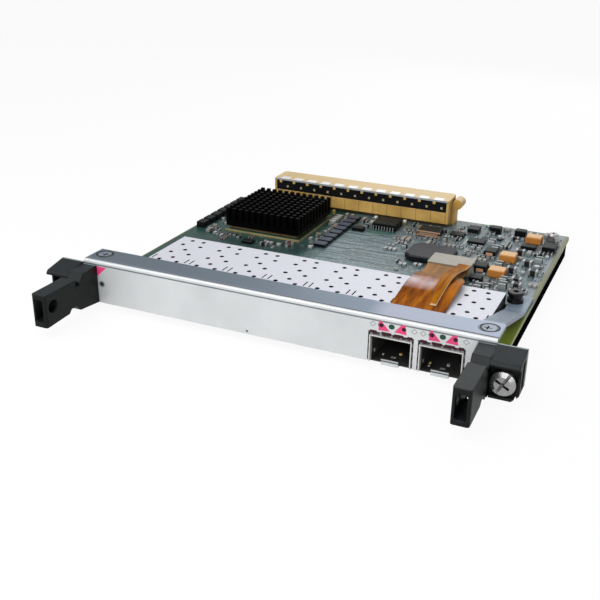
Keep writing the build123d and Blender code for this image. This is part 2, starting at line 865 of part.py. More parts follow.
def make_thermal_pad():
    """The soft pad between the heat sink and the chip."""
    z0 = board_top + package_height
    return slab(sink_x, sink_y, sink_size - 1.2, sink_size - 1.2, z0, z0 + pad_thickness)


def make_processor():
    """The large chip under the heat sink: a thin carrier with a stepped lid."""
    lid = package_size - 4.0
    carrier = slab(sink_x, sink_y, package_size, package_size, board_top, board_top + package_height / 2)
    return carrier + slab(sink_x, sink_y, lid, lid, board_top, board_top + package_height)


def slab(x, y, width, depth, z0, z1):
    """A box centred on (x, y)."""
    return Pos(x, y, (z0 + z1) / 2) * Box(width, depth, z1 - z0)


def chip(x, y, width, depth, height, bevel):
    """A plain moulded chip body with bevelled upper edges."""
    body = slab(x, y, width, depth, board_top, board_top + height)
    return chamfer(body.faces().sort_by(Axis.Z)[-1].edges(), bevel)


def row_of_chips(x, count, pitch, size):
    """A row of like chips along Y, at one distance across the board."""
    width, depth, height = size
    solids = []
    for k in range(count):
        y = along(row_start) + k * pitch
        solids += chip(x, y, width, depth, height, 0.2).solids()
    return Compound(solids)


def make_driver_chip():
    """The moulded body of a small-outline chip."""
    x = across(driver_place[0])
    y = along(driver_place[1])
    body = slab(x, y, driver_width, driver_depth, board_top + 0.2, board_top + driver_height)
    return chamfer(body.faces().sort_by(Axis.Z)[-1].edges(), 0.3)


def make_driver_leads():
    """The chip's stepped leads, a row in front and a row behind."""
    x = across(driver_place[0])
    y = along(driver_place[1])
    solids = []
    for side in (-1, 1):
        root = y + side * driver_depth / 2
        for k in range(leads_per_side):
            left = x + (k - (leads_per_side - 1) / 2) * lead_pitch - lead_width / 2
            knee = board_top + driver_height / 2
            profile = [
                (root, knee + lead_thickness),
                (root + side * lead_reach / 2, knee + lead_thickness),
                (root + side * lead_reach * 0.6, board_top + lead_thickness),
                (root + side * lead_reach, board_top + lead_thickness),
                (root + side * lead_reach, board_top),
                (root + side * lead_reach * 0.4, board_top),
                (root + side * lead_reach * 0.3, knee),
                (root, knee),
            ]
            solids += side_profile(profile, left, left + lead_width).solids()
    return Compound(solids)


def make_controller_chip():
    """The large square chip beside the flex connector, with bevelled corners."""
    x = across(controller_place[0])
    y = along(controller_place[1])
    body = slab(x, y, controller_width, controller_depth, board_top, board_top + controller_height)
    body = chamfer(body.edges().filter_by(Axis.Z), 1.6)
    return chamfer(body.faces().sort_by(Axis.Z)[-1].edges(), 0.4)


def make_flex_connector():
    """The low socket under the cable's stiffener, with a recess along its front."""
    top = board_top + stiffener_height - stiffener_thickness - film
    back = stiffener_front + socket_depth
    body = block(stiffener_left, stiffener_right, stiffener_front, back, board_top, top)
    recess = block(stiffener_left + 1, stiffener_right - 1, stiffener_front - 1, stiffener_front + 0.8,
                   board_top + 1.0, top - 0.8)
    return body - recess


def make_flex_stiffener():
    """The stiff plate on the end of the flex cable."""
    top = board_top + stiffener_height
    back = stiffener_front + stiffener_depth
    plate = block(stiffener_left, stiffener_right, stiffener_front, back, top - stiffener_thickness, top)
    return fillet(plate.edges().filter_by(Axis.Z), 0.6)


def ribbon(points, thickness, x0, x1):
    """A thin film that follows (y, z) points, offset to a constant thickness and spread over x0 to x1."""
    upper = []
    lower = []
    for k, (y, z) in enumerate(points):
        before = points[max(k - 1, 0)]
        after = points[min(k + 1, len(points) - 1)]
        length = hypot(after[0] - before[0], after[1] - before[1])
        normal = (-(after[1] - before[1]) / length, (after[0] - before[0]) / length)
        upper.append((y + normal[0] * thickness / 2, z + normal[1] * thickness / 2))
        lower.append((y - normal[0] * thickness / 2, z - normal[1] * thickness / 2))
    return side_profile(upper + lower[::-1], x0, x1)


def make_flex_cable():
    """The film from the light board over the cage: it humps behind the cage, dips and climbs to its plate."""
    low = cage_top + flex_rest
    plate = board_top + stiffener_height - stiffener_thickness - film / 2
    route = [(light_back + 1.2, low)]
    route += [(y, low + rise) for y, rise in flex_route]
    route += [(stiffener_front - 0.6, plate), (stiffener_front + stiffener_depth - 0.5, plate)]
    return ribbon(route, film, flex_left, flex_right)


def make_flex_strip():
    """A narrower film that leaves the plate's right end and folds forward over the first."""
    low = cage_top + flex_rest + film
    top = board_top + stiffener_height + film / 2
    route = [(y, low + rise) for y, rise in strip_route]
    route += [(stiffener_front - 2.4, top + 0.2), (stiffener_front + 2.0, top)]
    return ribbon(route, film, strip_right - strip_width, strip_right)


def make_tantalum_blocks():
    """Three large moulded capacitors near the right edge."""
    solids = []
    for side_share, back_share in capacitor_places:
        x = across(side_share)
        y = along(back_share)
        solids += chip(x, y, capacitor_width, capacitor_depth, capacitor_height, 0.4).solids()
    return Compound(solids)


def make_small_chips():
    """Other chips that stand out on the board, each with its own footprint."""
    solids = []
    for side_share, back_share, width, depth, height in chip_places:
        solids += chip(across(side_share), along(back_share), width, depth, height, 0.25).solids()
    return Compound(solids)


parts = {
    "faceplate": make_faceplate(),
    "flange_screws": make_flange_screws(),
    "flange_posts": make_flange_posts(),
    "base_tray": make_tray(),
    "main_board": make_main_board(),
    "board_screws": make_board_screws(),
    "strap_screw": make_strap_screw(),
    "corner_spacer": make_corner_spacer(),
    "cage_cover": make_cage_cover(),
    "cage_walls": make_cage_walls(),
    "cage_dividers": make_cage_dividers(),
    "cage_floor": make_cage_floor(),
    "port_collars": make_port_collars(),
    "port_springs": make_port_springs(),
    "host_connectors": make_host_connectors(),
    "port_board": make_port_board(),
    "port_board_film": make_port_board_film(),
    "led_board": make_led_board(),
    "light_pipes": make_light_pipes(),
    "status_board": make_status_board(),
    "right_handle": make_right_handle(),
    "handle_screws": make_handle_screws(),
    "right_captive_screw": make_right_captive_screw(),
    "right_screw_clip": make_right_clip(),
    "connector_housing": make_connector_housing(),
    "connector_insulator": make_connector_insulator(),
    "connector_contacts": make_connector_contacts(),
    "connector_shield": make_connector_shield(),
    "guide_socket": make_guide_socket(),
    "heat_sink": make_heat_sink(),
    "thermal_pad": make_thermal_pad(),
    "processor": make_processor(),
    "edge_chips": row_of_chips(edge_chip_x, edge_chip_count, edge_chip_pitch, edge_chip_size),
    "memory_chips": row_of_chips(across(memory_share), memory_count, memory_pitch, memory_size),
    "driver_chip": make_driver_chip(),
    "driver_leads": make_driver_leads(),
    "controller_chip": make_controller_chip(),
    "flex_connector": make_flex_connector(),
    "flex_stiffener": make_flex_stiffener(),
    "flex_cable": make_flex_cable(),
    "flex_strip": make_flex_strip(),
    "tantalum_blocks": make_tantalum_blocks(),
    "small_chips": make_small_chips(),
}
for piece in ("handle", "captive_screw", "screw_clip"):
    parts["left_" + piece] = mirrored(parts["right_" + piece])
for name, shape in parts.items():
    save(name, shape)
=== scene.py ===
import bpy
import bmesh
import json
import math
import random
from mathutils import Matrix, Vector

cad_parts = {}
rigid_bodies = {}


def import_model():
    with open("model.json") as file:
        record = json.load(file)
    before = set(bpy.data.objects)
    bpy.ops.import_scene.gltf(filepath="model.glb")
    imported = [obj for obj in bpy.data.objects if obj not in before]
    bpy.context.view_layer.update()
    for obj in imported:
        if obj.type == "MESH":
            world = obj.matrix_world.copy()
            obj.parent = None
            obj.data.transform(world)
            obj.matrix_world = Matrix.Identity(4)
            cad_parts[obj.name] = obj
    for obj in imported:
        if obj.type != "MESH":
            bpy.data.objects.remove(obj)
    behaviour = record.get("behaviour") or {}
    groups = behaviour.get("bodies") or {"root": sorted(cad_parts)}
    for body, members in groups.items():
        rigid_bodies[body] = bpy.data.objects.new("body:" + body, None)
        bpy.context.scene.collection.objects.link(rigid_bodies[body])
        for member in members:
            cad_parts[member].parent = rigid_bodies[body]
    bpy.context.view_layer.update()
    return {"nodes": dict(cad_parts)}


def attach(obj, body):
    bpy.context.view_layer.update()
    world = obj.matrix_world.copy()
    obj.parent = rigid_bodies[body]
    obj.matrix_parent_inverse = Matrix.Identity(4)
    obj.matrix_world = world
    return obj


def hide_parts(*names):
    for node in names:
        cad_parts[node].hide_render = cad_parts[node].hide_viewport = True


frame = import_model()
nodes = frame["nodes"]
shown = bpy.context.scene.collection.objects

# Lengths are in millimetres: X across the panel, Y back from the panel's front face, Z up from the tray's
# underside. PANEL_Y is where that front face lies in the shared frame.
MM = 0.001
PANEL_Y = -53.25
FLANGE_TOP = 18.6
BOARD_TOP = 7.3
# X of the middles of the two open bays
BAYS = (41.42, 57.67)
# A distance past every side of the object, for bands that stay open at one end
FAR = 200


def at(x, y, z):
    """A point in metres in the shared frame, from millimetres measured from the panel."""
    return Vector((x * MM, (y + PANEL_Y) * MM, z * MM))


def ring_points(radius, sides):
    """Points (across, up) round a circle."""
    turns = [2 * math.pi * k / sides for k in range(sides)]
    return [(radius * math.cos(turn), radius * math.sin(turn)) for turn in turns]


# Materials

def new_material(name):
    """A material with an empty node tree, its shader and its output."""
    material = bpy.data.materials.new(name)
    material.use_nodes = True
    tree = material.node_tree
    tree.nodes.clear()
    output = tree.nodes.new("ShaderNodeOutputMaterial")
    shader = tree.nodes.new("ShaderNodeBsdfPrincipled")
    tree.links.new(shader.outputs["BSDF"], output.inputs["Surface"])
    return material, tree, shader


def place(tree, scale=(1, 1, 1)):
    """Object coordinates in metres, stretched by scale."""
    coords = tree.nodes.new("ShaderNodeTexCoord")
    mapping = tree.nodes.new("ShaderNodeMapping")
    mapping.inputs["Scale"].default_value = scale
    tree.links.new(coords.outputs["Object"], mapping.inputs["Vector"])
    return mapping.outputs["Vector"]


def noise(tree, vector, scale, detail=3.0, roughness=0.55):
    """A noise value at scale features per metre."""
    node = tree.nodes.new("ShaderNodeTexNoise")
    node.inputs["Scale"].default_value = scale
    node.inputs["Detail"].default_value = detail
    node.inputs["Roughness"].default_value = roughness
    tree.links.new(vector, node.inputs["Vector"])
    return node.outputs["Fac"]


def ramp(tree, value, stops):
    """A colour ramp with (position, colour) stops."""
    node = tree.nodes.new("ShaderNodeValToRGB")
    elements = node.color_ramp.elements
    elements[0].position, elements[1].position = stops[0][0], stops[-1][0]
    elements[0].color, elements[1].color = (*stops[0][1], 1), (*stops[-1][1], 1)
    for position, colour in stops[1:-1]:
        elements.new(position).color = (*colour, 1)
    tree.links.new(value, node.inputs["Fac"])
    return node.outputs["Color"]


def mix(tree, factor, first, second):
    """Mix two colours, each a socket or a plain colour, by a factor socket or number."""
    node = tree.nodes.new("ShaderNodeMix")
    node.data_type = "RGBA"
    for value, socket in ((factor, node.inputs[0]), (first, node.inputs[6]), (second, node.inputs[7])):
        if isinstance(value, bpy.types.NodeSocket):
            tree.links.new(value, socket)
        elif isinstance(value, (int, float)):
            socket.default_value = value
        else:
            socket.default_value = (*value, 1)
    return node.outputs[2]


def math_node(tree, operation, first, second=0.0, clamp=False):
    """A math node on two values, each a socket or a number."""
    node = tree.nodes.new("ShaderNodeMath")
    node.operation = operation
    node.use_clamp = clamp
    for value, socket in ((first, node.inputs[0]), (second, node.inputs[1])):
        if isinstance(value, bpy.types.NodeSocket):
            tree.links.new(value, socket)
        else:
            socket.default_value = value
    return node.outputs[0]


def times(tree, first, second):
    """The product of two values, each a socket or a number."""
    return math_node(tree, "MULTIPLY", first, second)


def spread(tree, value, low, high, from_low=0.3, from_high=0.7):
    """Map a noise value to a range."""
    node = tree.nodes.new("ShaderNodeMapRange")
    node.inputs["From Min"].default_value = from_low
    node.inputs["From Max"].default_value = from_high
    node.inputs["To Min"].default_value = low
    node.inputs["To Max"].default_value = high
    tree.links.new(value, node.inputs["Value"])
    return node.outputs["Result"]


def axes(tree):
    """X, Y and Z of the object coordinates, in metres, as three sockets."""
    split = tree.nodes.new("ShaderNodeSeparateXYZ")
    coords = tree.nodes.new("ShaderNodeTexCoord")
    tree.links.new(coords.outputs["Object"], split.inputs["Vector"])
    return split.outputs["X"], split.outputs["Y"], split.outputs["Z"]


def facing_up(tree):
    """The upward part of the surface normal, from 0 to 1."""
    split = tree.nodes.new("ShaderNodeSeparateXYZ")
    coords = tree.nodes.new("ShaderNodeTexCoord")
    tree.links.new(coords.outputs["Normal"], split.inputs["Vector"])
    return math_node(tree, "MAXIMUM", split.outputs["Z"], 0.0, True)


def band(tree, value, low, high, soft):
    """1 where a coordinate lies between low and high, with soft edges, all in millimetres."""
    node_up = tree.nodes.new("ShaderNodeMapRange")
    node_down = tree.nodes.new("ShaderNodeMapRange")
    for node, start, end in ((node_up, low - soft, low + soft), (node_down, high + soft, high - soft)):
        node.inputs["From Min"].default_value = start * MM
        node.inputs["From Max"].default_value = end * MM
        tree.links.new(value, node.inputs["Value"])
    return times(tree, node_up.outputs["Result"], node_down.outputs["Result"])


def paint_corner_shade(tree, colour, reach_mm=1.2, depth=0.75):
    """Darken a colour socket in narrow corners as painted shade, where shadow collects."""
    node = tree.nodes.new("ShaderNodeAmbientOcclusion")
    node.samples = 6
    node.inputs["Distance"].default_value = reach_mm * MM
    shade = spread(tree, node.outputs["AO"], 1 - depth, 1.0, 0.25, 0.95)
    product = tree.nodes.new("ShaderNodeVectorMath")
    product.operation = "SCALE"
    tree.links.new(colour, product.inputs[0])
    tree.links.new(shade, product.inputs["Scale"])
    return product.outputs[0]


def bump(tree, shader, height, strength, distance):
    """A bump from a height socket onto the shader's normal."""
    node = tree.nodes.new("ShaderNodeBump")
    node.inputs["Strength"].default_value = strength
    node.inputs["Distance"].default_value = distance
    tree.links.new(height, node.inputs["Height"])
    tree.links.new(node.outputs["Normal"], shader.inputs["Normal"])
    return node


# Height of the fine bump, the reach of the painted corner shade and the drift of roughness on plain surfaces
BUMP_HEIGHT = 0.02 * MM
CORNER_SHADE_REACH = 1.2
GLOSS_DRIFT = 0.08
# Cloudy colour drift is this share of the fine grain's frequency
CLOUD_SHARE = 0.12


def finish(tree, shader, colour, grain, low, high, metallic=0.0):
    """Set the colour, the range of roughness over a grain, and the metallic share."""
    tree.links.new(colour, shader.inputs["Base Color"])
    tree.links.new(spread(tree, grain, low, high), shader.inputs["Roughness"])
    shader.inputs["Metallic"].default_value = metallic


def plain(name, colour, roughness, metallic=0.0, vary=0.2, grain=1500, bumpy=0.15, specular=0.5,
          corners=0.6, top=None):
    """A surface whose colour drifts by the share vary, with uneven gloss, painted shade in corners and a fine
    bump; top is another colour for the faces that look up, which most materials here use as painted light on
    their tops."""
    material, tree, shader = new_material(name)
    vector = place(tree)
    coarse = noise(tree, vector, grain * CLOUD_SHARE, 4.0)
    fine = noise(tree, vector, grain, 3.0)
    dark = [c * (1 - vary) for c in colour]
    light = [min(1.0, c * (1 + vary)) for c in colour]
    surface = ramp(tree, coarse, ((0.3, dark), (0.7, light)))
    if top:
        up = spread(tree, facing_up(tree), 0.0, 1.0, 0.5, 0.9)
        surface = mix(tree, up, surface, top)
    shaded = paint_corner_shade(tree, surface, CORNER_SHADE_REACH, corners)
    finish(tree, shader, shaded, fine, roughness - GLOSS_DRIFT, roughness + GLOSS_DRIFT, metallic)
    shader.inputs["Specular IOR Level"].default_value = specular
    bump(tree, shader, fine, bumpy, BUMP_HEIGHT)
    return material


# Scale of noise that is drawn out along X, as brushing leaves it
BRUSHED = (1, 40, 40)

steel = plain("screw_steel", (0.50, 0.50, 0.50), 0.30, 0.9, 0.08, corners=0.97)
dull_steel = plain("dull_steel", (0.30, 0.34, 0.40), 0.42, 0.7, 0.1, corners=0.9)
# The cover is one steel painted as lit and shaded copies: near black on sides and inner faces as painted
# shade, bright on top as painted light.
cage_metal = plain("cage_steel", (0.02, 0.02, 0.03), 0.5, 0.2, 0.03, 500, bumpy=0.1, corners=0.2,
                   top=(0.68, 0.69, 0.76))
collar_metal = plain("collar_metal", (0.62, 0.61, 0.60), 0.42, 0.3, 0.05, 900, corners=0.7)
# Painted shade: the dividers inside the cage are painted near black.
cage_inside_shade = plain("cage_inside_shade", (0.060, 0.062, 0.057), 0.5, 0.3, 0.1, 500, bumpy=0.1)
spring_metal = plain("spring_steel", (0.62, 0.60, 0.60), 0.35, 0.7, 0.1, 1200, corners=0.9)
tray_black = plain("tray_black", (0.003, 0.003, 0.004), 0.8, grain=2500, bumpy=0.2, specular=0.0)
black_steel = plain("black_steel", (0.003, 0.003, 0.004), 0.3, bumpy=0.1, specular=0.35)
socket_black = plain("socket_black", (0.004, 0.004, 0.005), 0.5, grain=1800, specular=0.2)
sink_black = plain("sink_black", (0.001, 0.001, 0.001), 0.45, grain=2000, specular=0.05, corners=0.9)
pad_brown = plain("pad_brown", (0.16, 0.03, 0.015), 0.6, grain=2500)
carrier_olive = plain("carrier_olive", (0.34, 0.30, 0.14), 0.4, top=(0.016, 0.05, 0.032))
# Painted reflection: the chip and memory tops are painted paler and bluer than their sides.
chip_black = plain("chip_black", (0.004, 0.004, 0.005), 0.42, vary=0.25, grain=2500, bumpy=0.2,
                   specular=0.15, top=(0.009, 0.012, 0.014))
memory_black = plain("memory_black", (0.004, 0.004, 0.005), 0.4, vary=0.25, grain=2500, bumpy=0.2,
                     specular=0.2, top=(0.055, 0.070, 0.100))
chip_grey = plain("chip_grey", (0.006, 0.007, 0.010), 0.42, vary=0.15, grain=2500, bumpy=0.2, specular=0.2,
                  top=(0.021, 0.020, 0.028))
socket_beige = plain("socket_beige", (0.40, 0.36, 0.26), 0.5, vary=0.08)
stiffener_grey = plain("stiffener_grey", (0.33, 0.31, 0.26), 0.4, vary=0.08, grain=400)
# Painted light: the capacitors' tops are painted paler than their sides, as if lit from above.
capacitor_orange = plain("capacitor_orange", (0.50, 0.19, 0.03), 0.45, grain=900, top=(0.70, 0.43, 0.20))


def panel_material():
    """Silver panel: pale face, a painted highlight on the bend between two painted shade lines, and a
    blue-grey flange with a painted reflection that pales towards the right, bluer on the strap."""
    half_flange = 74.2
    crease_start = 0.85
    flange_depth_start = 1.7
    strap_start = 12.5
    lowest_flange_drop = 11.6
    material, tree, shader = new_material("panel_silver")
    x, y, z = axes(tree)
    brush = noise(tree, place(tree, BRUSHED), 60, 4.0)
    cloud = noise(tree, place(tree), 60, 3.0)
    shifted = math_node(tree, "ADD", x, times(tree, cloud, 4 * MM))
    along = spread(tree, shifted, 0.0, 1.0, -half_flange * MM, half_flange * MM)
    # Painted reflection: the flange is dark blue-grey at the left and pales sharply towards the right.
    flange = ramp(tree, along, (
        (0.0, (0.11, 0.14, 0.17)), (0.50, (0.14, 0.18, 0.23)), (0.73, (0.17, 0.22, 0.29)),
        (0.77, (0.34, 0.37, 0.47)), (1.0, (0.34, 0.40, 0.50))))
    face = ramp(tree, cloud, ((0.3, (0.60, 0.62, 0.63)), (0.7, (0.68, 0.70, 0.71))))
    # The face's pale colour runs onto the top up to flange_depth_start, as a painted highlight on the bend.
    back = band(tree, y, PANEL_Y + flange_depth_start, FAR, 0.25)
    top = band(tree, z, FLANGE_TOP - lowest_flange_drop, FAR, 0.05)
    on_flange = times(tree, back, top)
    colour = mix(tree, on_flange, face, flange)
    # Painted shade: a dark line on the top just behind the bend.
    crease_band = band(tree, y, PANEL_Y + crease_start, PANEL_Y + flange_depth_start, 0.1)
    crease_shade = times(tree, crease_band, top)
    colour = mix(tree, times(tree, crease_shade, 0.85), colour, (0.035, 0.05, 0.08))
    tree.links.new(spread(tree, crease_shade, 0.25, 0.0, 0.0, 1.0), shader.inputs["Metallic"])
    # Painted shade: a dark line on the face just under the bend.
    front = band(tree, y, PANEL_Y - 1, PANEL_Y + 0.1, 0.02)
    line_band = band(tree, z, FLANGE_TOP - 1.75, FLANGE_TOP - 1.25, 0.08)
    low_shade_line = times(tree, front, line_band)
    colour = mix(tree, times(tree, low_shade_line, 0.85), colour, (0.07, 0.10, 0.12))
    # Painted reflection: the strap behind the flange is painted darker and bluer.
    strap = band(tree, y, PANEL_Y + strap_start, FAR, 0.8)
    colour = mix(tree, times(tree, strap, 0.6), colour, (0.12, 0.18, 0.23))
    tree.links.new(paint_corner_shade(tree, colour, 1.0, 0.5), shader.inputs["Base Color"])
    dull = times(tree, crease_shade, 0.95)
    gloss = math_node(tree, "MAXIMUM", spread(tree, brush, 0.30, 0.46), dull)
    tree.links.new(gloss, shader.inputs["Roughness"])
    bump(tree, shader, brush, 0.06, BUMP_HEIGHT)
    return material


def board_material():
    """Solder mask over faint copper: green at the left, blue-grey to the right as a painted reflection over
    copper speckle, olive at the edges, a pale painted reflection inside the right edge, painted light at the
    front right corner and painted shade in corners.
    """
    right_strip, left_strip, rear_strip = 72.9, -73.7, 134.15
    material, tree, shader = new_material("board_green")
    x, y, _ = axes(tree)
    vector = place(tree)
    cloud = noise(tree, vector, 90, 4.0)
    speckle = noise(tree, vector, 700, 2.0, 0.7)
    green = ramp(tree, cloud, ((0.3, (0.010, 0.042, 0.036)), (0.7, (0.024, 0.082, 0.068))))
    # Painted reflection: the blue-grey that the mask takes towards the right.
    grey_reflection = ramp(tree, cloud, ((0.3, (0.055, 0.102, 0.112)), (0.7, (0.110, 0.168, 0.190))))
    copper = ramp(tree, speckle, ((0.52, (0.065, 0.10, 0.108)), (0.60, (0.25, 0.33, 0.35))))
    wander = math_node(tree, "ADD", x, times(tree, cloud, 30 * MM))
    to_right = spread(tree, wander, 0.0, 1.0, -8 * MM, 8 * MM)
    mask = mix(tree, to_right, green, mix(tree, 0.45, grey_reflection, copper))
    right = band(tree, x, right_strip, FAR, 0.15)
    left = band(tree, x, -FAR, left_strip, 0.15)
    sides = math_node(tree, "MAXIMUM", right, left)
    strip = math_node(tree, "MAXIMUM", sides, band(tree, y, PANEL_Y + rear_strip, FAR, 0.15))
    patch_back = band(tree, y, PANEL_Y + 102, PANEL_Y + 108, 0.8)
    patch = times(tree, band(tree, x, -5.5, 6.5, 1), patch_back)
    mask = mix(tree, times(tree, patch, 0.85), mask, (0.008, 0.075, 0.052))
    olive = ramp(tree, cloud, ((0.3, (0.10, 0.11, 0.03)), (0.7, (0.17, 0.18, 0.07))))
    # Painted reflection: a pale blue band inside the right edge.
    edge_reflection = times(tree, band(tree, x, 69.5, FAR, 0.8), band(tree, y, 5, FAR, 3))
    mask = mix(tree, times(tree, edge_reflection, 0.8), mask, (0.22, 0.27, 0.31))
    # Painted light: the front right corner is painted bright olive, as if lit.
    corner = times(tree, band(tree, x, 66, FAR, 0.5), band(tree, y, -FAR, -8, 12))
    shaded = paint_corner_shade(tree, mix(tree, strip, mask, olive), 2.0, 0.7)
    colour = mix(tree, corner, shaded, (0.26, 0.33, 0.04))
    finish(tree, shader, colour, cloud, 0.25, 0.42)
    shader.inputs["Specular IOR Level"].default_value = 0.4
    bump(tree, shader, speckle, 0.15, BUMP_HEIGHT)
    return material


def housing_material():
    """Gold moulded housing: a tan top painted paler as painted light from above, deeper gold in front with a
    joint line between its wafers, and painted shade low in the undercut at the board."""
    wafer_pitch = 6.66
    undercut_top = BOARD_TOP + 1.55
    material, tree, shader = new_material("housing_gold")
    x, y, z = axes(tree)
    cloud = noise(tree, place(tree), 120, 3.0)
    wall = ramp(tree, cloud, ((0.3, (0.49, 0.29, 0.07)), (0.7, (0.71, 0.45, 0.13))))
    lit_crown = ramp(tree, cloud, ((0.3, (0.60, 0.44, 0.20)), (0.7, (0.70, 0.52, 0.26))))
    up = spread(tree, facing_up(tree), 0.0, 1.0, 0.3, 0.8)
    colour = mix(tree, up, wall, lit_crown)
    part = math_node(tree, "FRACT", math_node(tree, "DIVIDE", x, wafer_pitch * MM))
    from_joint = math_node(tree, "ABSOLUTE", math_node(tree, "SUBTRACT", part, 0.5))
    joint = spread(tree, from_joint, 1.0, 0.0, 0.0, 0.035)
    joint = math_node(tree, "MULTIPLY", joint, math_node(tree, "SUBTRACT", 1.0, up), True)
    colour = mix(tree, times(tree, joint, 0.7), colour, (0.10, 0.05, 0.01))
    # Painted shade: near black low in the undercut at the board.
    low = band(tree, z, 0, undercut_top, 0.03)
    undercut = times(tree, low, band(tree, y, 71.4, 71.9, 0.1))
    colour = mix(tree, undercut, colour, (0.02, 0.012, 0.004))
    finish(tree, shader, paint_corner_shade(tree, colour, 1.0, 0.6), cloud, 0.32, 0.5, 0.1)
    bump(tree, shader, math_node(tree, "SUBTRACT", 1.0, joint), 0.4, 0.1 * MM)
    return material


def film_material(name, rim=None):
    """Amber film with copper streaks along it. The wide one is greyer at its rear and carries a painted
    highlight at its crest. One with a rim, at that X, is more golden, with a painted highlight along its
    right rim and on its tip."""
    material, tree, shader = new_material(name)
    x, y, _ = axes(tree)
    streaks = noise(tree, place(tree, (1, 0.02, 1)), 520, 3.0)
    cloud = noise(tree, place(tree), 90, 3.0)
    if rim:
        stops = ((0.33, (0.24, 0.070, 0.001)), (0.5, (0.34, 0.115, 0.002)), (0.67, (0.44, 0.165, 0.004)))
        colour = ramp(tree, streaks, stops)
    else:
        stops = ((0.33, (0.12, 0.026, 0.001)), (0.5, (0.25, 0.066, 0.001)), (0.67, (0.44, 0.140, 0.003)))
        colour = ramp(tree, streaks, stops)
        rear = band(tree, y, PANEL_Y + 49.5, FAR, 2.0)
        colour = mix(tree, times(tree, rear, 0.55), colour, (0.36, 0.24, 0.13))
        # Painted highlight: a pale sheen over the crest.
        top = band(tree, y, PANEL_Y + 39, PANEL_Y + 46.5, 3)
        crest = times(tree, top, band(tree, x, 20, 44, 4))
        sheen = times(tree, crest, spread(tree, cloud, 0.5, 1.0, 0.3, 0.5))
        colour = mix(tree, times(tree, sheen, 0.95), colour, (0.66, 0.56, 0.58))
    if rim:
        # Painted highlight: a pale line along the right rim and on the tip.
        right = band(tree, x, rim - 0.25, rim + 1, 0.1)
        edge = times(tree, right, spread(tree, cloud, 0.4, 1.0))
        tip = band(tree, y, -FAR, PANEL_Y + 28.5, 0.3)
        bright = math_node(tree, "MAXIMUM", edge, tip)
        colour = mix(tree, times(tree, bright, 0.6), colour, (0.80, 0.60, 0.40))
    finish(tree, shader, paint_corner_shade(tree, colour, 1.5, 0.6), cloud, 0.25, 0.4)
    shader.inputs["Specular IOR Level"].default_value = 0.02
    bump(tree, shader, streaks, 0.1, 0.03 * MM)
    return material


def contact_material():
    """Contact ends in the connector's black band: the upper row bright gold, the lower row pale."""
    material, tree, shader = new_material("contact_gold")
    _, _, z = axes(tree)
    heights = [v.co.z / MM for v in nodes["connector_contacts"].data.vertices]
    middle = (min(heights) + max(heights)) / 2
    grain = noise(tree, place(tree), 1500, 2.0)
    gold = ramp(tree, grain, ((0.3, (0.72, 0.44, 0.10)), (0.7, (0.86, 0.58, 0.20))))
    pale = ramp(tree, grain, ((0.3, (0.48, 0.40, 0.24)), (0.7, (0.60, 0.53, 0.36))))
    colour = mix(tree, band(tree, z, middle, FAR, 0.1), pale, gold)
    finish(tree, shader, colour, grain, 0.28, 0.42, 0.3)
    return material


def shield_material():
    """The connector's shield: one metal, painted bright on the tabs on top as painted light and greyer on the
    strip in front as painted shade.
    """
    material, tree, shader = new_material("shield_silver")
    grain = noise(tree, place(tree, BRUSHED), 1500, 2.0)
    up = spread(tree, facing_up(tree), 0.0, 1.0, 0.3, 0.8)
    colour = mix(tree, up, (0.44, 0.47, 0.49), (0.86, 0.86, 0.88))
    finish(tree, shader, colour, grain, 0.28, 0.42, 0.3)
    return material


def handle_material():
    """Black moulding with a painted sheen on top, softened edges and a painted highlight line at the panel.
    """
    edge_radius = 0.7
    material, tree, shader = new_material("handle_black")
    _, y, _ = axes(tree)
    grain = noise(tree, place(tree), 2600, 3.0)
    cloud = noise(tree, place(tree), 300, 4.0)
    side = ramp(tree, cloud, ((0.3, (0.0035, 0.005, 0.005)), (0.7, (0.0048, 0.007, 0.007))))
    # Painted sheen: the top faces are a little greyer.
    top = ramp(tree, cloud, ((0.3, (0.010, 0.014, 0.016)), (0.7, (0.014, 0.019, 0.022))))
    up = spread(tree, facing_up(tree), 0.0, 1.0, 0.5, 0.9)
    # Painted highlight: a pale line on the top faces at the panel.
    line = times(tree, up, band(tree, y, PANEL_Y - 0.55, PANEL_Y + 1, 0.1))
    colour = mix(tree, line, mix(tree, up, side, top), (0.30, 0.36, 0.37))
    finish(tree, shader, paint_corner_shade(tree, colour, CORNER_SHADE_REACH, 0.6), grain, 0.34, 0.5)
    shader.inputs["Specular IOR Level"].default_value = 0.22
    relief = bump(tree, shader, grain, 0.25, 0.03 * MM)
    rounded = tree.nodes.new("ShaderNodeBevel")
    rounded.samples = 6
    rounded.inputs["Radius"].default_value = edge_radius * MM
    tree.links.new(rounded.outputs["Normal"], relief.inputs["Normal"])
    return material


def light_material():
    """Indicator windows: green in the middle over each port and at the panel's left end, plum elsewhere."""
    half_window = 2.1
    material, tree, shader = new_material("light_window")
    x, _, _ = axes(tree)
    over_ports = [band(tree, x, bay - half_window, bay + half_window, 0.1) for bay in BAYS]
    middle = math_node(tree, "MAXIMUM", *over_ports)
    left = band(tree, x, -FAR, -60, 0.1)
    green = math_node(tree, "MAXIMUM", middle, left)
    colour = mix(tree, green, (0.13, 0.02, 0.06), (0.015, 0.045, 0.03))
    finish(tree, shader, colour, noise(tree, place(tree), 1500), 0.12, 0.3)
    return material


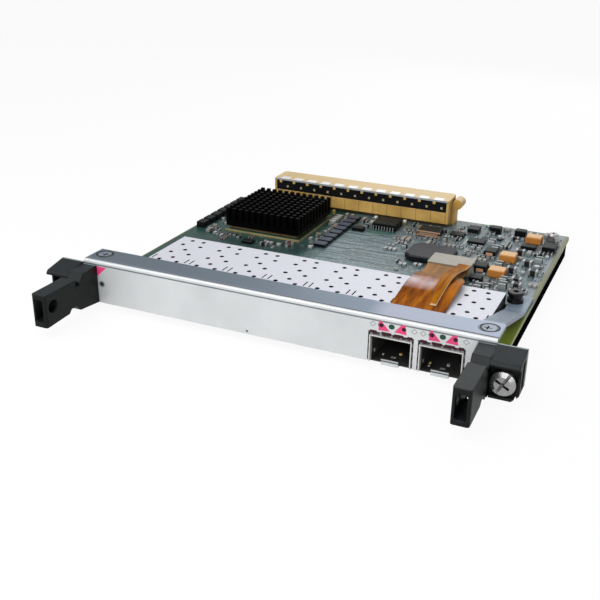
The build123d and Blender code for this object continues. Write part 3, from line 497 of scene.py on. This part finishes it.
def cage_wall_material():
    """The cage's walls: steel painted dark as painted shade, a little bluer on the outer right side, which
    lies in the shadow beside the strap.
    """
    right_side = 65.75
    material, tree, shader = new_material("cage_walls")
    x, _, _ = axes(tree)
    grain = noise(tree, place(tree), 500, 3.0)
    side = band(tree, x, right_side, FAR, 0.02)
    colour = mix(tree, side, (0.05, 0.05, 0.055), (0.045, 0.05, 0.06))
    finish(tree, shader, paint_corner_shade(tree, colour, 1.5, 0.6), grain, 0.4, 0.55, 0.3)
    bump(tree, shader, grain, 0.1, BUMP_HEIGHT)
    return material


def cage_floor_material():
    """The cage's floor: painted shade inside the bays, bright on the latch lips at the panel, with a dark
    band across them.
    """
    material, tree, shader = new_material("cage_floor")
    _, y, z = axes(tree)
    grain = noise(tree, place(tree), 700, 3.0)
    lip = band(tree, y, PANEL_Y - 1, PANEL_Y + 0.55, 0.03)
    lip_dark_band = band(tree, z, FLANGE_TOP - 15.35, FLANGE_TOP - 14.85, 0.06)
    tongue = mix(tree, lip_dark_band, (0.62, 0.66, 0.67), (0.10, 0.11, 0.12))
    # Painted shade: the floor inside the bays is near black.
    colour = mix(tree, lip, (0.045, 0.047, 0.043), tongue)
    finish(tree, shader, colour, grain, 0.35, 0.5, 0.3)
    return material


# X of the narrow film's straight right edge
STRIP_RIGHT = 47.6
film_amber = film_material("film_amber")
film_rim_highlight = film_material("film_rim_highlight", STRIP_RIGHT)

looks = {
    panel_material(): ("faceplate",),
    dull_steel: ("flange_screws", "flange_posts"),
    steel: ("board_screws", "handle_screws", "right_captive_screw", "left_captive_screw",
            "right_screw_clip", "left_screw_clip", "corner_spacer", "driver_leads"),
    black_steel: ("strap_screw",),
    tray_black: ("base_tray",),
    board_material(): ("main_board", "port_board", "led_board", "status_board"),
    cage_metal: ("cage_cover",),
    collar_metal: ("port_collars",),
    cage_wall_material(): ("cage_walls",),
    cage_floor_material(): ("cage_floor",),
    cage_inside_shade: ("cage_dividers",),
    spring_metal: ("port_springs",),
    socket_black: ("host_connectors", "connector_insulator", "port_board_film"),
    light_material(): ("light_pipes",),
    handle_material(): ("right_handle", "left_handle"),
    housing_material(): ("connector_housing", "guide_socket"),
    contact_material(): ("connector_contacts",),
    shield_material(): ("connector_shield",),
    sink_black: ("heat_sink",),
    pad_brown: ("thermal_pad",),
    carrier_olive: ("processor",),
    chip_black: ("edge_chips", "driver_chip", "small_chips"),
    memory_black: ("memory_chips",),
    chip_grey: ("controller_chip",),
    socket_beige: ("flex_connector",),
    stiffener_grey: ("flex_stiffener",),
    film_amber: ("flex_cable", "flex_strip"),
    capacitor_orange: ("tantalum_blocks",),
}
for material, names in looks.items():
    for name in names:
        nodes[name].data.materials.clear()
        nodes[name].data.materials.append(material)

# Edges rounded in the form, with the width in millimetres
round_edges = {"connector_housing": 0.2, "flex_connector": 0.2, "tantalum_blocks": 0.25, "main_board": 0.12,
               "guide_socket": 0.3}
for name, width in round_edges.items():
    weld = nodes[name].modifiers.new("joined corners", "WELD")
    weld.merge_threshold = 0.002 * MM
    flats = nodes[name].modifiers.new("joined flats", "DECIMATE")
    flats.decimate_type = "DISSOLVE"
    flats.angle_limit = math.radians(1)
    bevel = nodes[name].modifiers.new("rounded edges", "BEVEL")
    bevel.width = width * MM
    bevel.segments = 3
    bevel.limit_method = "ANGLE"
    bevel.angle_limit = math.radians(35)
    bevel.use_clamp_overlap = True


# Fine pieces that the solids leave out

class Pile:
    """Many small forms gathered into one mesh, each with its own material."""

    def __init__(self, materials):
        self.materials = materials
        self.points = []
        self.faces = []
        self.kinds = []

    def add(self, points, faces, material):
        """Add faces over points in millimetres."""
        start = len(self.points)
        self.points += [at(*point) for point in points]
        self.faces += [[start + i for i in face] for face in faces]
        self.kinds += [self.materials.index(material)] * len(faces)

    def box(self, x0, x1, y0, y1, z0, z1, material, taper=0.0):
        """A box whose top may be a little smaller than its foot."""
        foot = [(x0, y0, z0), (x1, y0, z0), (x1, y1, z0), (x0, y1, z0)]
        top = [(x0 + taper, y0 + taper, z1), (x1 - taper, y0 + taper, z1), (x1 - taper, y1 - taper, z1),
               (x0 + taper, y1 - taper, z1)]
        faces = [(3, 2, 1, 0), (4, 5, 6, 7), (0, 1, 5, 4), (1, 2, 6, 5), (2, 3, 7, 6), (3, 0, 4, 7)]
        self.add(foot + top, faces, material)

    def disc(self, x, y, z0, z1, radius, material, sides):
        """A short round post."""
        ring = ring_points(radius, sides)
        points = [(x + across, y + along, z) for z in (z0, z1) for across, along in ring]
        walls = [(k, (k + 1) % sides, sides + (k + 1) % sides, sides + k) for k in range(sides)]
        caps = [tuple(range(sides, 2 * sides)), tuple(reversed(range(sides)))]
        self.add(points, walls + caps, material)

    def path(self, route, width, z, material):
        """A flat line along a route of (x, y) points, mitred at its corners."""
        left, right = [], []
        for k, (x, y) in enumerate(route):
            before = route[max(0, k - 1)]
            after = route[min(len(route) - 1, k + 1)]
            along = Vector((after[0] - before[0], after[1] - before[1])).normalized()
            side = Vector((-along.y, along.x)) * width / 2
            left.append((x + side.x, y + side.y, z))
            right.append((x - side.x, y - side.y, z))
        count = len(route)
        faces = [(k, k + 1, count + k + 1, count + k) for k in range(count - 1)]
        self.add(right + left, faces, material)

    def build(self, name, body="card"):
        """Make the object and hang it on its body."""
        mesh = bpy.data.meshes.new(name)
        mesh.from_pydata(self.points, [], self.faces)
        for material in self.materials:
            mesh.materials.append(material)
        for face, kind in zip(mesh.polygons, self.kinds):
            face.material_index = kind
        mesh.update()
        piece = bpy.data.objects.new(name, mesh)
        shown.link(piece)
        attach(piece, body)
        return piece


def footprints(*names):
    """The X and Y limits, in millimetres from the panel, of every separate solid in these nodes."""
    found = []
    for name in names:
        form = bmesh.new()
        form.from_mesh(nodes[name].data)
        bmesh.ops.remove_doubles(form, verts=form.verts, dist=1e-6)
        todo = set(form.verts)
        while todo:
            start = todo.pop()
            island, queue = [start], [start]
            while queue:
                for edge in queue.pop().link_edges:
                    for vert in edge.verts:
                        if vert in todo:
                            todo.discard(vert)
                            island.append(vert)
                            queue.append(vert)
            xs = [v.co.x / MM for v in island]
            ys = [v.co.y / MM - PANEL_Y for v in island]
            found.append((min(xs), max(xs), min(ys), max(ys)))
        form.free()
    return found


solder = plain("solder", (0.42, 0.45, 0.45), 0.38, 0.5, 0.15)
part_tan = plain("part_tan", (0.30, 0.21, 0.14), 0.5)
part_dark = plain("part_dark", (0.010, 0.010, 0.013), 0.45, specular=0.3)
part_pale = plain("part_pale", (0.45, 0.44, 0.42), 0.45)
part_white = plain("part_white", (0.80, 0.81, 0.80), 0.4, vary=0.08)
part_red = plain("part_red", (0.10, 0.030, 0.025), 0.4)
trace_pale = plain("trace_pale", (0.29, 0.39, 0.42), 0.35, vary=0.15, grain=900, corners=0.3)
trace_dark = plain("trace_dark", (0.030, 0.045, 0.048), 0.35, vary=0.15, grain=900, corners=0.3)
pad_gold = plain("pad_gold", (0.55, 0.40, 0.12), 0.35, 0.5, 0.15)
copper_edge = plain("copper_edge", (0.62, 0.36, 0.22), 0.4, 0.3, 0.15, 900)
ink_pink = plain("ink_pink", (0.70, 0.045, 0.17), 0.5, vary=0.1, grain=900, corners=0.1)
ink_plum = plain("ink_plum", (0.045, 0.010, 0.020), 0.4, grain=900, corners=0.1, specular=0.2)
ink_green = plain("ink_green", (0.020, 0.075, 0.045), 0.4, grain=900, corners=0.1, specular=0.2)
ink_grey = plain("ink_grey", (0.30, 0.33, 0.33), 0.5, vary=0.1, grain=900, corners=0.1)
ink_dark = plain("ink_dark", (0.05, 0.055, 0.06), 0.5, vary=0.1, grain=900, corners=0.1)

random.seed(7)
taken = footprints("small_chips", "tantalum_blocks", "driver_chip", "controller_chip", "memory_chips",
                   "edge_chips", "processor", "flex_connector", "corner_spacer", "board_screws",
                   "strap_screw", "guide_socket")
# The board's free field, and the places of the connector, the cage, the strap, the films and a bare patch
FIELD_HALF = 73
FIELD_FRONT = 53.6
FIELD_BACK = 134
taken += [(-60, 28, 122, 136), (-68, 67, 0, FIELD_FRONT), (66, 75, 0, 61), (30, 49, 53, 82),
          (-5.5, 7, 102.5, 107.6)]


def is_free(x0, x1, y0, y1, gap=0.35):
    """True where no part stands yet."""
    for a0, a1, b0, b1 in taken:
        if x1 + gap > a0 and x0 - gap < a1 and y1 + gap > b0 and y0 - gap < b1:
            return False
    return abs(x0) < FIELD_HALF and abs(x1) < FIELD_HALF and y0 > FIELD_FRONT and y1 < FIELD_BACK


# Soldered ends: their share of a part's length, and how far they stand past its ends and its sides
END_SHARE = 0.22
END_PROUD = 1.02
SIDE_PROUD = 1.03
EDGE_TAPER = 0.03


def add_part(pile, x, y, length, width, height, turned, body):
    """One two-ended part: a body between two soldered ends. Nothing is added where another part stands."""
    half_x, half_y = (width / 2, length / 2) if turned else (length / 2, width / 2)
    limits = (x - half_x, x + half_x, y - half_y, y + half_y)
    if not is_free(*limits):
        return
    taken.append(limits)
    end = length * END_SHARE
    wide_x, wide_y = half_x * SIDE_PROUD, half_y * SIDE_PROUD
    z0, z1 = BOARD_TOP, BOARD_TOP + height
    pile.box(*limits, z0, z1 - EDGE_TAPER, body, EDGE_TAPER)
    for side in (-1, 1):
        if turned:
            y0, y1 = sorted((y + side * half_y * END_PROUD, y + side * (half_y - end)))
            pile.box(x - wide_x, x + wide_x, y0, y1, z0, z1, solder, EDGE_TAPER)
        else:
            x0, x1 = sorted((x + side * half_x * END_PROUD, x + side * (half_x - end)))
            pile.box(x0, x1, y - wide_y, y + wide_y, z0, z1, solder, EDGE_TAPER)


# Length, width and height of the common small parts, and of the tall ones
sizes = ((1.6, 0.85, 0.7), (2.0, 1.25, 1.0), (2.0, 1.25, 1.0), (1.0, 0.5, 0.4), (3.0, 1.6, 1.4))
TALL = (3.4, 2.6, 2.2)
pile = Pile([solder, part_tan, part_dark, part_pale, part_red])
# Tall capacitors and coils of the power section come first, so that the small ones fill the gaps
tall_places = ((61.5, 66.5), (66.0, 68.5), (60.5, 71.5), (65.0, 73.5), (53.5, 61.5), (53.5, 66.5),
               (55.5, 86.5), (58.5, 75.5), (68.0, 118.5), (61.0, 126.0), (55.0, 127.5), (44.0, 124.0),
               (47.0, 110.0), (65.0, 93.0), (68.5, 98.0), (60.0, 104.0), (54.0, 92.0), (69.0, 84.0),
               (50.0, 103.5), (61.0, 83.5))
for k, (x, y) in enumerate(tall_places):
    add_part(pile, x, y, *TALL, k % 2 == 0, part_dark)
# Each field: limits across and along the board, the number of short rows, and the parts' bodies
fields = (
    (8, 30, 82, 122, 46, (part_dark, part_dark, part_tan, part_pale)),
    (28, 72, 82, 132, 190, (part_dark, part_dark, part_dark, part_tan, part_pale)),
    (49, 73, 60, 84, 70, (part_dark, part_dark, part_tan, part_pale)),
    (-22.5, -17.5, 72, 121, 70, (part_tan, part_tan, part_pale, part_pale, part_dark)),
    (-12.6, -6, 100, 122, 18, (part_tan, part_dark, part_pale)),
    (-60, -26, 66, 75.5, 20, (part_pale, part_dark, part_dark, part_red)),
    (-69, -61, 71, 96, 26, (part_tan, part_tan, part_pale, part_dark)),
    (-4, 18, 98, 108, 10, (part_dark, part_tan)),
    (18, 30, 58, 84, 12, (part_pale, part_dark)),
)
for x0, x1, y0, y1, rows, bodies in fields:
    for _ in range(rows):
        length, width, height = random.choice(sizes)
        turned = random.random() < 0.6
        body = random.choice(bodies)
        x = random.uniform(x0, x1)
        y = random.uniform(y0, y1)
        step = width + random.choice((0.35, 0.6, 1.0))
        for k in range(random.choice((1, 2, 2, 3, 4))):
            shift = k * step
            if turned:
                add_part(pile, min(x + shift, x1), y, length, width, height, True, body)
            else:
                add_part(pile, x, min(y + shift, y1), length, width, height, False, body)
pile.build("small_parts")

# Traces and plated holes on the board, from one height just over it
lines = Pile([trace_pale, trace_dark, pad_gold, solder])
LIFT = BOARD_TOP + 0.02
BUS_PITCH = 1.55
HOLES = 620
HOLE_SIDES = 8
for k in range(26):
    y = 60.5 + BUS_PITCH * k
    jog = 1.2 + 0.35 * (k % 5)
    knee = -8 + 1.1 * (k % 9)
    stop = 17 + 6 * math.sin(k * 1.7)
    route = [(-12.3, y), (knee, y), (knee + jog, y + jog), (stop, y + jog)]
    beside = [(px, py + 0.7) for px, py in route]
    lines.path(route, 0.32, LIFT, trace_pale if k % 4 else trace_dark)
    lines.path(beside, 0.24, LIFT, trace_pale if k % 3 else trace_dark)
for k in range(70):
    x = random.uniform(22, 71)
    y = random.uniform(60, 131)
    run = random.uniform(2, 9)
    bend = random.choice((-1, 1)) * random.uniform(0.8, 3)
    route = [(x, y), (x, y + run), (x + bend, y + run + abs(bend))]
    if abs(x + bend) < 72.5 and y + run + abs(bend) < 133:
        width = random.choice((0.25, 0.35, 0.6))
        lines.path(route, width, LIFT, random.choice((trace_pale, trace_pale, trace_dark)))
for k in range(24):
    y = 61 + 0.62 * k
    lines.path([(-68 + 0.9 * k, y), (-26 + 0.4 * k, y)], 0.2, LIFT, trace_dark)
holes = 0
while holes < HOLES:
    x = random.uniform(-70, 72)
    y = random.uniform(54.5, 133)
    if x < -18 and random.random() < 0.6:
        continue
    holes += 1
    if is_free(x, x, y, y, 0.2):
        size = random.choice((0.16, 0.22, 0.3))
        metal = random.choice((solder, pad_gold, trace_pale))
        lines.disc(x, y, BOARD_TOP, LIFT + 0.01, size, metal, HOLE_SIDES)
lines.build("board_traces")

# Larger fittings on the board: tin-topped cans, plated studs, leads and the copper frame round one coil
extras = Pile([solder, pad_gold, part_dark, copper_edge, part_pale, part_tan, part_white])
# Each can: its place and its width
cans = ((64.5, 73, 2.4), (68.6, 77.5, 2.2), (65.2, 84.5, 2.6), (69.2, 90, 2.4), (66.3, 97.5, 2.4),
        (69.9, 104, 2.2), (63.0, 64.5, 2.0), (52.5, 105.5, 2.2), (48.6, 117.5, 2.0))
CAN_BASE = BOARD_TOP + 0.7
CAN_TOP = BOARD_TOP + 1.8
for x, y, size in cans:
    square = (x - size / 2, x + size / 2, y - size / 2, y + size / 2)
    if is_free(*square, 0.1):
        extras.box(*square, BOARD_TOP, CAN_BASE, part_dark)
        extras.disc(x, y, CAN_BASE, CAN_TOP, size * 0.44, solder, 14)
STUD_TOP = BOARD_TOP + 1.2
CAP_TOP = BOARD_TOP + 1.9
for x, y, cap in ((-6.8, 118.6, part_white), (6.4, 119.1, part_white), (-26.7, 118.1, pad_gold)):
    extras.disc(x, y, BOARD_TOP, STUD_TOP, 0.8, pad_gold, 12)
    extras.disc(x, y, STUD_TOP, CAP_TOP, 0.75, cap, 12)


def chip_box(x, y):
    """The footprint of the small chip that stands at a place."""
    return min(footprints("small_chips"),
               key=lambda f: abs((f[0] + f[1]) / 2 - x) + abs((f[2] + f[3]) / 2 - y))


x0, x1, y0, _ = chip_box(20.4, 111.8)
for z, reach in ((BOARD_TOP + 0.25, 0.9), (BOARD_TOP + 1.75, 0.25)):
    extras.box(x0 - 0.3, x1 + 0.3, y0 - reach, y0, z, z + 0.55, copper_edge)
extras.box(x0 + 0.6, x1 - 0.6, y0 - 0.5, y0 - 0.02, BOARD_TOP + 0.9, BOARD_TOP + 1.6, part_tan)
LEADS = 6
for place_x, place_y in ((36.5, 122.5), (41.0, 109.5)):
    x0, x1, y0, _ = chip_box(place_x, place_y)
    for k in range(LEADS):
        x = x0 + (k + 0.5) * (x1 - x0) / LEADS
        extras.box(x - 0.18, x + 0.18, y0 - 1.0, y0, BOARD_TOP, BOARD_TOP + 0.5, solder, 0.05)
for place_x, place_y in ((49.2, 98.8), (49.9, 80.6)):
    x0, x1, y0, _ = chip_box(place_x, place_y)
    extras.box(x0 + 0.9, x1 - 0.9, y0 - 0.5, y0, BOARD_TOP + 0.3, BOARD_TOP + 1.6, copper_edge, 0.1)
extras.build("board_fittings")

# Painted highlights inside the two open bays: glints on metal, and contact pins at their back
inner = Pile([pad_gold, solder])
# Each glint, a painted highlight: the offset from the bay's middle, the height, the width, the rise and the
# metal
glints = (
    ((-6.2, 4.6, 0.35, 1.1, solder), (-3.2, 4.0, 0.5, 0.4, solder), (2.6, 5.2, 0.9, 0.4, pad_gold),
     (0.2, 3.6, 1.6, 0.15, solder)),
    ((-6.3, 4.4, 0.3, 1.0, solder), (-4.0, 4.4, 0.6, 0.4, pad_gold), (-4.3, 3.4, 0.6, 0.35, solder),
     (1.8, 4.8, 0.9, 0.6, solder), (0.0, 3.3, 1.6, 0.15, solder)),
)
for bay_x, bay_glints in zip(BAYS, glints):
    for dx, z, width, rise, metal in bay_glints:
        inner.box(bay_x + dx - width / 2, bay_x + dx + width / 2, 3.0, 3.9, z, z + rise, metal)
SOCKET_PINS = 10
PIN_PITCH = 0.8
for bay_x in BAYS:
    for k in range(SOCKET_PINS):
        x = bay_x - 3.6 + PIN_PITCH * k
        inner.box(x - 0.2, x + 0.2, 35.6, 36.0, 4.9, 5.4, pad_gold)
inner.build("bay_glints_and_pins")

# Painted shade: dark rings in the countersinks of the flange
rings = Pile([part_dark])
RING_X, RING_Y = 70.2, 7.1
RING_OUTER, RING_INNER = 3.15, 2.5
RING_Z = FLANGE_TOP + 0.03
RING_SIDES = 32
for ring_x in (-RING_X, RING_X):
    points = [(ring_x + across, RING_Y + along, RING_Z)
              for radius in (RING_OUTER, RING_INNER) for across, along in ring_points(radius, RING_SIDES)]
    quads = [(k, (k + 1) % RING_SIDES, RING_SIDES + (k + 1) % RING_SIDES, RING_SIDES + k)
             for k in range(RING_SIDES)]
    rings.add(points, quads, part_dark)
rings.build("flange_ring_shade")

# The controller's package, with cut corners and a bevelled crown
chip_face = Pile([chip_grey, part_dark])
PACKAGE = footprints("controller_chip")[0]
CUT = 2.4


def octagon(grow, z):
    """The package's outline at a height, grown or shrunk."""
    x0, x1, y0, y1 = PACKAGE[0] - grow, PACKAGE[1] + grow, PACKAGE[2] - grow, PACKAGE[3] + grow
    outline = ((x0 + CUT, y0), (x1 - CUT, y0), (x1, y0 + CUT), (x1, y1 - CUT),
               (x1 - CUT, y1), (x0 + CUT, y1), (x0, y1 - CUT), (x0, y0 + CUT))
    return [(x, y, z) for x, y in outline]


chip_top = max(v.co.z for v in nodes["controller_chip"].data.vertices) / MM
levels = ((-0.5, BOARD_TOP), (-0.1, BOARD_TOP + 0.5), (-0.1, chip_top - 0.5), (-0.55, chip_top))
loops = [octagon(grow, z) for grow, z in levels]
points = [point for loop in loops for point in loop]
walls = [(8 * m + k, 8 * m + (k + 1) % 8, 8 * m + 8 + (k + 1) % 8, 8 * m + 8 + k)
         for m in range(3) for k in range(8)]
chip_face.add(points, walls + [tuple(range(24, 32)), tuple(reversed(range(8)))], chip_grey)
controller = chip_face.build("controller_package")
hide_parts("controller_chip")

# Printed marks on the panel's face
marks = Pile([ink_pink, ink_dark, ink_plum, ink_green, ink_grey, solder])
INK_Y = -0.02
DOT_Y = -0.03
DOT_SIDES = 14


def print_face(points, material):
    """A flat printed shape on the panel, from (x, drop under the flange) points."""
    marks.add([(x, INK_Y, FLANGE_TOP - drop) for x, drop in points], [tuple(range(len(points)))], material)


def print_outline(points, inset, material):
    """A printed outline: the shape's rim, drawn as a ring of quads."""
    middle_x = sum(x for x, d in points) / len(points)
    middle_d = sum(d for x, d in points) / len(points)
    small = [(middle_x + (x - middle_x) * inset, middle_d + (d - middle_d) * inset) for x, d in points]
    for k in range(len(points)):
        m = (k + 1) % len(points)
        print_face([points[k], points[m], small[m], small[k]], material)


def print_dot(x, drop, radius, material):
    """A printed disc, just in front of the other prints."""
    ring = [(x + across, DOT_Y, FLANGE_TOP - drop + up) for across, up in ring_points(radius, DOT_SIDES)]
    marks.add(ring, [tuple(range(DOT_SIDES))], material)


# A triangle in the panel's left corner
print_face([(-73.0, 1.9), (-68.6, 5.6), (-64.8, 2.1)], ink_pink)

# A painted highlight: a bright ring round the status window at the left
window = min(footprints("light_pipes"), key=lambda f: f[0])
window_x = (window[0] + window[1]) / 2
window_z = [v.co.z / MM for v in nodes["light_pipes"].data.vertices if v.co.x / MM < window[1] + 0.1]
window_drop = FLANGE_TOP - (min(window_z) + max(window_z)) / 2
RIM_SIDES = 20
rim_inner, rim_outer = ring_points(0.85, RIM_SIDES), ring_points(1.25, RIM_SIDES)
for k in range(RIM_SIDES):
    after = (k + 1) % RIM_SIDES
    corners = (rim_inner[k], rim_outer[k], rim_outer[after], rim_inner[after])
    print_face([(window_x + across, window_drop + down) for across, down in corners], solder)

# Over each port: two pink shapes, three dots, four bars and two diamonds
for centre in reversed(BAYS):
    left = [(-3.5, 1.2), (-4.15, 2.05), (-4.1, 4.7), (-0.35, 4.55)]
    right = [(4.5, 1.2), (3.1, 1.7), (1.05, 4.4), (5.0, 4.6)]
    for shape in (left, right):
        print_face([(centre + x, drop) for x, drop in shape], ink_pink)
    for x in (-3.25, 4.1):
        print_dot(centre + x, 2.85, 0.72, ink_plum)
    print_dot(centre + 0.3, 2.75, 0.8, ink_green)
    for x0, x1 in ((-6.8, -4.7), (-3.1, 0.15), (1.0, 4.1), (5.3, 7.0)):
        bar = ((x0, 5.0), (x1, 5.0), (x1, 6.0), (x0, 6.0))
        print_face([(centre + x, drop) for x, drop in bar], ink_plum)
    for x in (centre - 6.0, centre + 7.4):
        print_outline([(x - 1.1, 2.9), (x, 1.9), (x + 1.1, 2.9), (x, 3.9)], 0.68, ink_grey)

# A small dark mark low on the panel
print_face([(-9.3, 14.5), (-8.5, 14.5), (-8.5, 15.1), (-9.3, 15.1)], ink_dark)
marks.build("panel_marks")


# Smooth films in place of the faceted ones

def smooth_route(points, steps=6):
    """A rounded route through (y, z) points."""
    ends = [points[0]] + list(points) + [points[-1]]
    route = []
    for k in range(1, len(ends) - 2):
        a, b, c, d = (Vector(p) for p in ends[k - 1:k + 3])
        for i in range(steps):
            t = i / steps
            route.append(0.5 * (2 * b + (c - a) * t + (2 * a - 5 * b + 4 * c - d) * t * t
                                + (3 * b - a - 3 * c + d) * t ** 3))
    route.append(Vector(points[-1]))
    return route


def limit(edges, y, column):
    """The film's left (column 1) or right (column 2) limit at y, read between its stations."""
    for before, after in zip(edges, edges[1:]):
        if y <= after[0]:
            share = max(0.0, (y - before[0]) / (after[0] - before[0]))
            share = share * share * (3 - 2 * share)
            return before[column] + (after[column] - before[column]) * share
    return edges[-1][column]


FILM_THICKNESS = 0.3


def film(name, points, edges, material, replaced):
    """A smooth film of even thickness along (y, z) points; edges holds (y, left, right) stations."""
    route = smooth_route(points)
    columns = 8
    upper, lower = [], []
    for k, point in enumerate(route):
        before, after = route[max(0, k - 1)], route[min(len(route) - 1, k + 1)]
        along = (after - before).normalized()
        normal = Vector((-along.y, along.x)) * FILM_THICKNESS / 2
        x0 = limit(edges, point.x, 1)
        x1 = limit(edges, point.x, 2)
        for c in range(columns + 1):
            x = x0 + (x1 - x0) * c / columns
            upper.append(at(x, point.x + normal.x, point.y + normal.y))
            lower.append(at(x, point.x - normal.x, point.y - normal.y))
    rows, wide = len(route), columns + 1
    offset = rows * wide
    faces = []
    for k in range(rows - 1):
        for c in range(columns):
            i = k * wide + c
            faces.append((i, i + 1, i + wide + 1, i + wide))
            faces.append((offset + i, offset + i + wide, offset + i + wide + 1, offset + i + 1))
        left, right = k * wide, k * wide + columns
        faces.append((left, left + wide, offset + left + wide, offset + left))
        faces.append((right, offset + right, offset + right + wide, right + wide))
    for k in (0, rows - 1):
        for c in range(columns):
            i = k * wide + c
            quad = (i, offset + i, offset + i + 1, i + 1)
            faces.append(quad if k == 0 else tuple(reversed(quad)))
    mesh = bpy.data.meshes.new(name)
    mesh.from_pydata(upper + lower, [], faces)
    mesh.materials.append(material)
    for face in mesh.polygons:
        face.use_smooth = True
    mesh.update()
    piece = bpy.data.objects.new(name, mesh)
    shown.link(piece)
    split = piece.modifiers.new("crisp rims", "EDGE_SPLIT")
    split.split_angle = math.radians(50)
    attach(piece, "card")
    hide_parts(replaced)


film("flex_cable_film",
     [(3.8, 12.2), (18, 12.2), (26, 12.6), (33, 13.6), (38, 14.3), (42, 14.6), (46.5, 14.4), (51.5, 13.7),
      (55, 12.8), (57.5, 11.6), (60, 10.6), (63, 10.2), (66.5, 10.3), (70, 10.65), (80.7, 10.65)],
     [(3, 32.9, 51.5), (48, 32.9, 51.5), (60, 32.0, 47.6), (81, 32.0, 47.4)], film_amber, "flex_cable")
film("flex_strip_film",
     [(27.5, 12.95), (31, 13.6), (35, 14.3), (40, 15.0), (46.5, 15.5), (52.5, 15.2), (58, 14.1), (63.5, 12.7),
      (68.2, 11.6), (72.6, 11.45)],
     [(27, 45.4, STRIP_RIGHT), (40, 43.8, STRIP_RIGHT), (72, 43.0, STRIP_RIGHT)], film_rim_highlight, "flex_strip")


# Stage, light and camera

def build_stage():
    """A white floor with a faint shadow, and a white world that is dimmer as light and in reflections."""
    half = 12.0
    gap_below = 0.2
    floor_glow = 0.93
    floor_mesh = bpy.data.meshes.new("floor")
    corners = [(-half, -half, 0), (half, -half, 0), (half, half, 0), (-half, half, 0)]
    floor_mesh.from_pydata(corners, [], [(0, 1, 2, 3)])
    floor = bpy.data.objects.new("floor", floor_mesh)
    floor.location.z = -gap_below * MM
    shown.link(floor)
    material, tree, shader = new_material("floor_white")
    output = tree.nodes["Material Output"]
    shader.inputs["Base Color"].default_value = (0.9, 0.9, 0.9, 1)
    shader.inputs["Roughness"].default_value = 0.9
    glow = tree.nodes.new("ShaderNodeEmission")
    path = tree.nodes.new("ShaderNodeLightPath")
    seen = math_node(tree, "ADD", path.outputs["Is Camera Ray"], path.outputs["Is Glossy Ray"], True)
    share = times(tree, seen, floor_glow)
    for_camera = times(tree, path.outputs["Is Camera Ray"], 0.4)
    glow_strength = math_node(tree, "ADD", for_camera, 0.6)
    tree.links.new(glow_strength, glow.inputs["Strength"])
    blend = tree.nodes.new("ShaderNodeMixShader")
    tree.links.new(share, blend.inputs[0])
    tree.links.new(shader.outputs["BSDF"], blend.inputs[1])
    tree.links.new(glow.outputs["Emission"], blend.inputs[2])
    tree.links.new(blend.outputs["Shader"], output.inputs["Surface"])
    floor_mesh.materials.append(material)

    world = bpy.data.worlds.new("studio")
    bpy.context.scene.world = world
    world.use_nodes = True
    tree = world.node_tree
    tree.nodes.clear()
    output = tree.nodes.new("ShaderNodeOutputWorld")
    background = tree.nodes.new("ShaderNodeBackground")
    path = tree.nodes.new("ShaderNodeLightPath")
    seen = math_node(tree, "ADD", path.outputs["Is Camera Ray"], path.outputs["Is Transmission Ray"], True)
    glossy = times(tree, path.outputs["Is Glossy Ray"], 0.08)
    strength = math_node(tree, "ADD", times(tree, seen, 0.68), 0.32)
    background.inputs["Color"].default_value = (1, 1, 1, 1)
    tree.links.new(math_node(tree, "ADD", strength, glossy, True), background.inputs["Strength"])
    tree.links.new(background.outputs["Background"], output.inputs["Surface"])


def area_light(name, place_at, aim, size, power):
    """A square soft light at a point in millimetres, aimed at another."""
    lamp = bpy.data.lights.new(name, "AREA")
    lamp.shape = "SQUARE"
    lamp.size = size
    lamp.energy = power
    light = bpy.data.objects.new(name, lamp)
    light.location = at(*place_at)
    light.rotation_mode = "QUATERNION"
    light.rotation_quaternion = (at(*aim) - light.location).to_track_quat("-Z", "Y")
    shown.link(light)


def build_camera():
    """The photograph's camera: its place, its three rotation angles and its lens."""
    place_at = at(118.24, -238.68, 115.4 + FLANGE_TOP)
    azimuth, elevation, roll = (math.radians(angle) for angle in (24.31, 23.73, 0.77))
    forward = Vector((-math.sin(azimuth) * math.cos(elevation), math.cos(azimuth) * math.cos(elevation),
                      -math.sin(elevation)))
    right = Vector((math.cos(azimuth), math.sin(azimuth), 0))
    up = right.cross(forward)
    turned_right = math.cos(roll) * right + math.sin(roll) * up
    turned_up = -math.sin(roll) * right + math.cos(roll) * up
    data = bpy.data.cameras.new("camera")
    data.lens = 53.68
    data.sensor_width = 36
    data.clip_start = 0.01
    data.clip_end = 20
    camera = bpy.data.objects.new("camera", data)
    turn = Matrix((turned_right, turned_up, -forward)).transposed().to_4x4()
    camera.matrix_world = Matrix.Translation(place_at) @ turn
    shown.link(camera)
    bpy.context.scene.camera = camera


build_stage()
area_light("key", (-120, -200, 380), (0, 50, 0), 0.4, 1.7)
area_light("fill", (180, -420, 150), (40, 20, 5), 0.4, 0.8)
area_light("back", (40, 420, 260), (0, 80, 0), 0.5, 0.8)
build_camera()
bpy.context.scene.view_settings.view_transform = "Standard"
